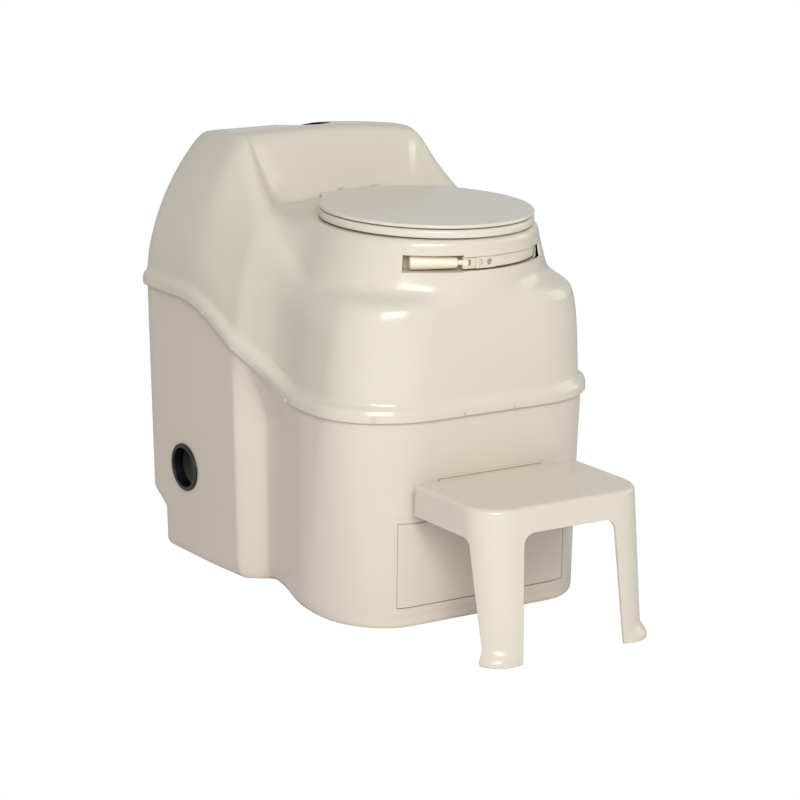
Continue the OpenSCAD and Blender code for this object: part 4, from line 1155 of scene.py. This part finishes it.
@dataclass
class LowerCasing(Assembly):
    """The lower half of the casing, its drawer's front and the border round it.

    Its foot's front is rounded less than the solid's, which has foot_side's size there.
    """

    sizes: CasingSizes = CasingSizes()
    drawer: DrawerSizes = DrawerSizes()
    step: StepSizes = StepSizes()
    port: PortSizes = PortSizes()
    floor_t: float = 6.0
    rim_below_lip: float = 4.3
    front_from: float = -60.0
    foot_back: Span = (12.0, 16.0)
    foot_side: Span = (26.0, 32.0)
    foot_front: Span = (8.0, 10.0)

    @cached_property
    def outline(self) -> Outline:
        """The casing's half outline."""
        return Outline(self.sizes)

    def rows(self) -> np.ndarray:
        """The outer surface as half rings, from the floor to the rim under the lip.

        The foot's rounding is a quarter ellipse, an inset over a height. Its three sizes,
        for the back, the sides and the front, blend into each other along the outline.
        """
        s, o = self.sizes, self.outline
        front = o.frontness(o.rest_y)
        wall = ease(self.front_from, -180, o.rest_y)
        feet = (
            (*self.foot_back, 1 - front),
            (*self.foot_side, front - wall),
            (*self.foot_front, wall),
        )
        rows = []
        for z in np.concatenate([np.linspace(0, 10, 9), np.linspace(12, 32, 9)]):
            inset = sum(
                w * a * (1 - math.sqrt(1 - (1 - min(z / h, 1.0)) ** 2)) for a, h, w in feet
            )
            at, within = o.ring(z, 0.0), o.ring(z, -1.0)
            rows.append(at + (within - at) * inset[:, None])
        rows += [o.ring(z, 0.0) for z in np.linspace(32, 130, 26)[1:]]
        rows += [o.ring(mix(130.0, o.seam, v), 0.0) for v in np.linspace(0, 1, 44)[1:]]
        rows.append(o.ring(o.seam + s.lip_h - self.rim_below_lip, 0.0))
        return np.stack(rows)

    def bordered(self, half: np.ndarray) -> np.ndarray:
        """The front's border: a panel that stands proud by a soft step all round."""
        d, p = self.drawer, half.copy()
        x, z = np.abs(p[..., 0]), p[..., 2]
        inside = (1 - ease(d.border_half - d.border_slope, d.border_half, x)) * (
            ease(d.border_z0, d.border_z0 + d.border_slope, z)
            * (1 - ease(d.border_z1 - d.border_slope, d.border_z1, z))
        )
        p[..., 1] -= d.border_rise * inside * (p[..., 1] < self.front_from)
        return p

    def openings(self) -> list[Shell]:
        """What is cut out for the drawer, the step's socket, the port, the drain and the gland."""
        s, d, st, p = self.sizes, self.drawer, self.step, self.port
        back = s.back_y - s.recess_d
        fit, half = 0.3, st.socket_half
        return [
            block(
                (-d.w / 2 - d.gap, s.front_y - 20, d.z - d.gap),
                (d.w / 2 + d.gap, s.front_y + 50, d.z + d.h + d.gap),
            ),
            block(
                (st.shift - half - fit, s.front_y - 20, st.socket_z - fit),
                (st.shift + half + fit, s.front_y + 25, st.socket_z + st.socket_h + fit),
            ),
            bar(p.hole, -20, 20, p.frame()),
            bar(p.drain_hole, -20, 20, along_y(0, back, 34)),
            bar(p.gland_hole, -20, 20, along_y(150, back, 36)),
        ]

    def build(self) -> None:
        """Makes the moulding, a skin between its outer grid and the same grid moved inward."""
        half = self.rows()
        outer = self.outline.whole(self.bordered(half))
        plain = self.outline.whole(half)
        inner = plain - self.sizes.wall * grid_normals(plain)
        inner[..., 2] = np.maximum(inner[..., 2], self.floor_t)
        inner = inner[np.unique(np.r_[10 : len(inner) - 1 : 4, len(inner) - 1])]
        inner[0, :, 2] = self.floor_t
        inner[-1, :, 2] = outer[-1, :, 2]
        obj = make_object("LowerCasing", lofted(np.concatenate([outer, inner[::-1]])))
        combine(obj, self.openings(), Cut.AWAY)
        self.add(obj, "casing", "lower_shell", ["lower_casing"])
        self.drawer_front()

    @staticmethod
    def softened(lo: float, hi: float, edge: float, n: int) -> np.ndarray:
        """Stations from lo to hi: n evenly spread ones, and more of them at both edges."""
        near = edge * clustered(5)
        return np.concatenate([lo + near, np.linspace(lo + edge, hi - edge, n), (hi - near)[::-1]])

    def drawer_front(self) -> None:
        """The drawer's front: a curved panel, proud of the border, with quarter round edges."""
        d, edge = self.drawer, self.drawer.edge
        xs = self.softened(-d.w / 2, d.w / 2, edge, 70)
        zs = self.softened(d.z, d.z + d.h, edge, 20)
        x, z = np.meshgrid(xs, zs, indexing="ij")
        wall = self.outline.front_wall(x, z)
        near = np.minimum(d.w / 2 - np.abs(x), d.h / 2 - np.abs(z - d.z - d.h / 2))
        q = np.clip(near / edge, 0, 1)
        y = wall - (d.border_rise + d.proud) + edge * (1 - np.sqrt(1 - (1 - q) ** 2))
        front = np.stack([x, y, z], -1)
        back = front.copy()
        back[..., 1] = wall + 6.0
        obj = make_object("DrawerFront", slab(front, back))
        self.add(obj, "drawer", "lower_shell", ["drawer_front"], 50)


def quarter(r: float, n: int = 6) -> np.ndarray:
    """Rows of (inset, drop) round a quarter circle of radius r, from the top to the side."""
    a = np.linspace(0, math.pi / 2, n)
    return np.stack([r * (1 - np.sin(a)), r * (1 - np.cos(a))], -1)


@dataclass
class SeatAndLid(Assembly):
    """The seat ring, the lid and the arms that carry them on the hinge rod."""

    half_w: float = 180.0
    half_l: float = 196.0
    seat_y: float = -20.0
    deck_z: float = 655.0
    seat_gap: float = 3.0
    seat_t: float = 14.0
    dish: float = 1.2
    hole_w: float = 112.0
    hole_l: float = 125.0
    lid_gap: float = 2.5
    lid_t: float = 6.0
    crown: float = 2.0
    knuckle_r: float = 8.0
    rod_r: float = 4.05

    def oval(self, w: float, l: float, z: float, n: int = 160) -> np.ndarray:
        """An ellipse of half width w and half length l at a height."""
        a = 2 * np.pi * np.arange(n) / n
        return np.stack([w * np.cos(a), self.seat_y + l * np.sin(a), np.full(n, z)], -1)

    def rounded(
        self, size: Span, z: float, r: float, out: int, up: int, n: int = 6
    ) -> list[np.ndarray]:
        """Ovals round an edge of radius r.

        Args:
            size: half width and half length at the edge's side.
            z: height of the flat face that the edge runs into.
            r: the edge's radius.
            out: -1 on an outer edge, 1 on the edge of a hole.
            up: 1 on a lower edge, -1 on an upper one.
            n: how many ovals.

        Returns:
            The ovals, in the order of a walk up the outer edge and down into the hole.
        """
        (w, l), turn = size, -out * up
        return [self.oval(w + out * i, l + out * i, z + up * d) for i, d in quarter(r, n)[::turn]]

    def arms(self, span: Span, y0: float, z0: float, z1: float) -> list[Shell]:
        """Two arms from y0 to the rod, with round knuckles."""
        a, out = self.axes, []
        for lo, hi in ((-span[1], -span[0]), span):
            out.append(block((lo, y0, z0), (hi, a.rod_y, z1)))
            out.append(bar(self.knuckle_r, 0, hi - lo, along_x(lo, a.rod_y, a.rod_z), 48))
        return out

    def rod(self) -> Shell:
        """The hinge rod's bore through both arms."""
        a = self.axes
        return bar(self.rod_r, 0, 400, along_x(-200, a.rod_y, a.rod_z), 48)

    def build(self) -> None:
        """Makes the seat: a ring whose top dips from its outer rounding to its opening."""
        z, t, a = self.deck_z + self.seat_gap, self.seat_t, self.axes
        edge, hole = (self.half_w, self.half_l), (self.hole_w, self.hole_l)
        rows = self.rounded(edge, z, 3.0, -1, 1) + self.rounded(edge, z + t, 5.0, -1, -1)
        for v in np.linspace(0, 1, 14)[1:-1]:
            w = mix(self.half_w - 5, self.hole_w + 8, v)
            l = mix(self.half_l - 5, self.hole_l + 8, v)
            rows.append(self.oval(w, l, z + t - self.dish * ease(0.3, 1, v)))
        rows += self.rounded(hole, z + t - self.dish, 8.0, 1, -1)
        rows += self.rounded(hole, z, 2.5, 1, 1)
        seat = make_object("SeatRing", lofted(np.stack(rows), looped=True))
        combine(seat, self.arms((46, 58), a.rod_y - 34, z + 1, z + t - 1), Cut.JOIN)
        combine(seat, [self.rod()], Cut.AWAY)
        self.add(seat, "seat", "seat", ["toilet_seat"])
        self.lid(z + t + self.lid_gap)

    def lid(self, z: float) -> None:
        """The lid: a thin plate with rounded edges and a slightly raised middle."""
        t, a, edge = self.lid_t, self.axes, (self.half_w, self.half_l)
        rows = []
        for v in np.linspace(0, 1, 10)[:-1]:
            rows.append(self.oval(mix(4.0, self.half_w - 1.5, v), mix(4.0, self.half_l - 1.5, v), z))
        rows += self.rounded(edge, z, 1.5, -1, 1, 4) + self.rounded(edge, z + t, 2.8, -1, -1)
        for v in np.linspace(0, 1, 22)[1:-1]:
            w, l = mix(self.half_w - 2.8, 4.0, v), mix(self.half_l - 2.8, 4.0, v)
            rows.append(self.oval(w, l, z + t + self.crown * (1 - (1 - v) ** 2) * 0.98))
        lid = make_object("Lid", lofted(np.stack(rows)))
        joins = self.arms((30, 42), a.rod_y - 12, a.rod_z, z + 2)
        for lo, hi in ((-42, -30), (30, 42)):
            joins.append(block((lo, a.rod_y - 36, z), (hi, a.rod_y, z + t - 1)))
        combine(lid, joins, Cut.JOIN)
        combine(lid, [self.rod()], Cut.AWAY)
        self.add(lid, "lid", "lid", ["seat_lid"])


@dataclass
class Step(Assembly):
    """The clip-on step: a thin moulded tread with two legs and a tongue for the casing."""

    s: StepSizes = StepSizes()
    arch_r: float = 22.0
    side_arch_r: float = 18.0
    groove_in: float = 42.0

    def ring(self, z: float, inset: float, toe: float = 0.0) -> np.ndarray:
        """The step's outline at a height, set in from the outer face.

        Its front corners are quarter circles, whose radius a toe widens by sin(2a).
        """
        s = self.s
        t = 1 - z / s.z
        hw = s.half + s.splay * t - inset
        yf = s.step_front_y - s.lean * t + inset
        r = s.corner - inset
        a = np.linspace(0, math.pi / 2, 25)
        q = r + toe * np.sin(2 * a)
        x = [np.linspace(0, hw, 6)[:-1], np.full(6, hw), hw - r + q * np.cos(a), [0]]
        y = [np.full(5, s.back_y), np.linspace(s.back_y, yf + r, 7)[:-1]]
        y += [yf + r - q * np.sin(a), [yf]]
        x, y = np.concatenate(x), np.concatenate(y)
        return Outline.whole(np.stack([x, y, np.full(len(x), z)], -1))

    def build(self) -> None:
        """Makes the step: rings from the feet to the tread, hollowed, with its legs cut free."""
        s = self.s
        rows = [self.ring(0, 1.5, s.toe), self.ring(1.5, 0, s.toe)]
        for z in range(4, 34, 3):
            rows.append(self.ring(z, 0, s.toe * (1 - float(ease(6, 34, z))) ** 1.8))
        rows += [self.ring(z, 0) for z in (36, 80, 150, 210, s.z - 9)]
        rows += [self.ring(s.z - d, i) for i, d in quarter(8.0, 9)[::-1]]
        obj = make_object("StepStool", lofted(np.stack(rows)))
        hollow = []
        for z in (-1.0, s.z - s.wall):
            p = self.ring(z, s.wall)
            p[:, 1] += (s.gap - 2) * (p[:, 1] > s.back_y - 1)
            hollow.append(p)
        combine(obj, [lofted(np.stack(hollow))], Cut.AWAY)
        combine(obj, self.tongue(), Cut.JOIN)
        combine(obj, [self.arch(), self.side_opening()], Cut.AWAY)
        grooves = []
        for i in (1, 2, 3):
            y, half = mix(s.back_y, s.step_front_y, i / 4), s.half - self.groove_in
            grooves.append(block((-half, y - 1.5, s.z - 1.2), (half, y + 1.5, s.z + 3)))
        combine(obj, grooves, Cut.AWAY)
        obj.data.transform(Matrix.Translation((s.shift * MM, 0, 0)))
        self.add(obj, "step", "step", ["step_stool"], 35)

    def tongue(self) -> list[Shell]:
        """The web under the tread, the neck and the tongue that the socket holds."""
        s, half = self.s, self.s.tongue_w / 2
        low, back = s.socket_z + 4, s.back_y - 24
        high = s.socket_z + 3.5 + s.tongue_t
        tip = s.front_y + s.socket_d - 4
        return [
            block((-half, back, low), (half, s.back_y - 1, s.z - s.wall + 1)),
            block((-half, back, low), (half, s.front_y - 0.5, high)),
            block((-half, s.front_y - 1, low), (half, tip, s.socket_z + 4 + s.tongue_t)),
        ]

    @staticmethod
    def bend(middle: Span, r: float, a0: float, a1: float) -> list[Span]:
        """Points round an arc of radius r about a middle, between two angles."""
        angles = np.linspace(a0, a1, 14)
        return [(middle[0] + r * math.cos(v), middle[1] + r * math.sin(v)) for v in angles]

    def arch(self) -> Shell:
        """The opening between the legs: straight sides that lean out, and rounded top corners."""
        s, r = self.s, self.arch_r
        middle = (s.half - s.leg_w - r, s.z - s.skirt_h - r)
        right = [(s.half + s.splay - s.leg_w_foot, -5.0), *self.bend(middle, r, 0, math.pi / 2)]
        left = [(-x, z) for x, z in right[::-1]]
        return extruded(np.array(right + left), 1, (-900.0, 0.0))

    def side_opening(self) -> Shell:
        """The opening behind each leg, seen from the side."""
        s, r = self.s, self.side_arch_r
        skirt, back = s.z - s.side_skirt_h, s.back_y + 14
        ring = [(back, -5.0), (back, skirt)]
        middle = (s.step_front_y + s.leg_d_top + r, skirt - r)
        ring += self.bend(middle, r, math.pi / 2, math.pi)
        ring += [(s.step_front_y - s.lean + s.leg_d_foot, -5.0)]
        return extruded(np.array(ring), 0, (-400.0, 400.0))


@dataclass
class Crank(Assembly):
    """The grip of the hand crank, a turned handle that swells towards its rounded end.

    It is a cone, where the solid's grip is a cylinder with a narrower start.
    """

    pin_x: float = -41.166
    pin_y: float = -197.310
    turn: float = 180 - 28.2
    thin: float = 9.2
    thick: float = 12.6
    start: float = 16.0
    swell: float = 74.0
    end_r: float = 4.5

    def profile(self) -> list[Span]:
        """Rows of (radius, length): a collar, a swell with length to the power 0.7, an end."""
        thin, thick, end = self.thin, self.thick, self.start + self.swell
        rows = [(4.5, 9.0), (4.5, 12.6)]
        for t in np.radians([0, 45, 90]):
            rows.append((thin - 1.9 * (1 - math.sin(t)), 13 + 3 * (1 - math.cos(t))))
        for v in np.linspace(0, 1, 12)[1:]:
            rows.append((thin + (thick - thin) * v**0.7, self.start + self.swell * v))
        for t in np.linspace(0, math.pi / 2, 8)[1:]:
            rows.append((thick - self.end_r * (1 - math.cos(t)), end + self.end_r * math.sin(t)))
        return [*rows, (2.0, 95.6)]

    def build(self) -> None:
        """Makes the grip with its shank and the eye that turns on the pin."""
        pin = Matrix.Translation((self.pin_x, self.pin_y, self.axes.crank_z))
        lay = pin @ Matrix.Rotation(math.radians(self.turn), 4, "Z")
        lay = lay @ Matrix.Rotation(math.pi / 2, 4, "Y")
        grip = make_object("CrankGrip", placed(turned(self.profile(), 48), lay))
        eye, shank = bar(6.0, -4.7, 4.7, pin, 40), bar(4.4, 0.0, 14, lay, 32)
        combine(grip, [eye, shank], Cut.JOIN)
        combine(grip, [bar(2.55, -20, 20, pin, 32)], Cut.AWAY)
        self.add(grip, "grip", "grip", ["crank_grip"])


@dataclass
class SidePort(Assembly):
    """The black air port low on the side, with its lip and a dark tube behind it."""

    port: PortSizes = PortSizes()
    round_out: float = 1.7
    round_in: float = 1.2

    def build(self) -> None:
        """Makes the ring: a tube, and a flange whose outer and inner edges are rounded."""
        p, out, within = self.port, self.round_out, self.round_in
        ring = [(p.outer, -p.depth), (p.outer, 0.3), (p.flange, 0.3), (p.flange, 2.6)]
        for w in np.linspace(0, 1.5, 6)[1:]:
            ring.append((p.flange - out * (1 - math.cos(w)), 2.6 + out * math.sin(w)))
        for w in np.linspace(0, 1.55, 6):
            z = p.flange_t - within * (1 - math.cos(w))
            ring.append((p.bore + within * (1 - math.sin(w)), z))
        ring += [(p.bore, -p.depth)]
        obj = make_object("PortRing", placed(turned(ring, 96, looped=True), p.frame()))
        self.add(obj, "casing", "black_plastic", ["side_port_ring"])


# ---------------------------------------------------------------------------------------
# Camera, light, floor and background
# ---------------------------------------------------------------------------------------
@dataclass(frozen=True)
class Softlight:
    """A square soft light, its place and side in metres and its power in watts."""

    name: str
    place: Triple
    side: float
    power: float
    colour: Triple = (1.0, 1.0, 1.0)


LIGHTS = (
    Softlight("Softbox", (-1.95, -3.3, 2.35), 2.4, 112),
    Softlight("Lamp", (-1.75, -3.4, 2.45), 0.6, 20),
    Softlight("Right", (4.2, -1.0, 1.6), 2.4, 29, (1.0, 0.95, 0.92)),
)
LIGHTS_AIM = (0, 0, 0.45)


@dataclass(frozen=True)
class View:
    """The camera that was fitted to the photograph: angles in degrees, lengths in millimetres."""

    azimuth: float = -34.443
    elevation: float = 14.036
    roll: float = 1.285
    target: Triple = (1.27, 47.182, 320.355)
    distance: float = 5283.67
    focal_px: float = 3004.25
    picture_px: float = 800
    sensor: float = 36.0

    def build(self) -> None:
        """Places the camera, which looks back along its own +Z."""
        data = bpy.data.cameras.new("Camera")
        data.sensor_width = self.sensor
        data.lens = self.focal_px / self.picture_px * self.sensor
        data.clip_end = 50.0
        obj = linked("Camera", data)
        az, el, roll = (math.radians(v) for v in (self.azimuth, self.elevation, self.roll))
        back = Vector(
            (math.sin(az) * math.cos(el), -math.cos(az) * math.cos(el), math.sin(el))
        )
        target = Vector(self.target) * MM
        right = (-back).cross(Vector((0, 0, 1))).normalized()
        up = right.cross(-back)
        r2 = right * math.cos(roll) + up * math.sin(roll)
        u2 = -right * math.sin(roll) + up * math.cos(roll)
        rotation = Matrix((r2, u2, back)).transposed().to_4x4()
        obj.matrix_world = Matrix.Translation(target + back * self.distance * MM) @ rotation
        bpy.context.scene.camera = obj


@dataclass
class Studio:
    """The lights, the floor and the background that camera and mirror rays see."""

    floor_half: float = 14.0
    floor_drop: float = 0.0006
    ambient: float = 0.37
    mirrored: float = 0.67

    def build(self) -> None:
        """Makes all of it."""
        for light in LIGHTS:
            self.light(light)
        self.floor()
        self.world()
        bpy.context.scene.view_settings.view_transform = "Standard"

    @staticmethod
    def light(light: Softlight) -> None:
        """One soft light, turned towards LIGHTS_AIM."""
        data = bpy.data.lights.new(light.name, "AREA")
        data.shape = "RECTANGLE"
        data.size = data.size_y = light.side
        data.energy = light.power
        data.color = light.colour
        obj = linked(light.name, data)
        obj.location = light.place
        obj.rotation_mode = "QUATERNION"
        aim = Vector(LIGHTS_AIM) - Vector(light.place)
        obj.rotation_quaternion = aim.to_track_quat("-Z", "Y")

    def floor(self) -> None:
        """A plain pale floor, which the camera sees as white."""
        h, z = self.floor_half, -self.floor_drop
        mesh = bpy.data.meshes.new("Floor")
        mesh.from_pydata([(-h, -h, z), (h, -h, z), (h, h, z), (-h, h, z)], [], [(0, 1, 2, 3)])
        obj = linked("Floor", mesh)
        mat = bpy.data.materials.new("floor")
        mat.use_nodes = True
        tree = mat.node_tree
        shader = tree.nodes["Principled BSDF"]
        shader.inputs["Base Color"].default_value = (0.9, 0.9, 0.9, 1)
        shader.inputs["Roughness"].default_value = 0.9
        glow = add_node(tree, "Emission", Color=(1, 1, 1, 1), Strength=1.0)
        path, both = add_node(tree, "LightPath"), add_node(tree, "MixShader")
        wire(
            tree,
            (path, "Is Camera Ray", both, 0),
            (shader, "BSDF", both, 1),
            (glow, "Emission", both, 2),
            (both, "Shader", tree.nodes["Material Output"], "Surface"),
        )
        mesh.materials.append(mat)

    def world(self) -> None:
        """White to the camera, grey to mirrored rays, and a plain low light on the object."""
        world = bpy.data.worlds.new("World")
        bpy.context.scene.world = world
        world.use_nodes = True
        tree = world.node_tree
        lit = tree.nodes["Background"]
        lit.inputs["Color"].default_value = (1, 1, 1, 1)
        lit.inputs["Strength"].default_value = self.ambient
        seen = add_node(tree, "Background", Color=(1, 1, 1, 1))
        gloss = add_node(tree, "Background", Color=(1, 1, 1, 1), Strength=self.mirrored)
        path = add_node(tree, "LightPath")
        rest, both = add_node(tree, "MixShader"), add_node(tree, "MixShader")
        wire(
            tree,
            (path, "Is Glossy Ray", rest, 0),
            (lit, "Background", rest, 1),
            (gloss, "Background", rest, 2),
            (path, "Is Camera Ray", both, 0),
            (rest, "Shader", both, 1),
            (seen, "Background", both, 2),
            (both, "Shader", tree.nodes["World Output"], "Surface"),
        )


def dress_frame(frame: dict, shop: Shop) -> None:
    """Gives every CAD node that is shown the finish of its slot in the record."""
    slots = {s["node"]: s["material_slot"] for s in frame["record"]["subparts"]}
    for name, obj in frame["nodes"].items():
        obj.data.materials.clear()
        obj.data.materials.append(shop.material(slots[name]))


def main() -> None:
    """Builds the whole scene."""
    logging.basicConfig(level=logging.INFO)
    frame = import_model()
    shop = Shop()
    axes = Axes()
    dress_frame(frame, shop)
    for kind in (UpperCasing, LowerCasing, SeatAndLid, Step, Crank, SidePort):
        kind(shop, axes).build()
    View().build()
    Studio().build()


if __name__ == "__main__":
    main()
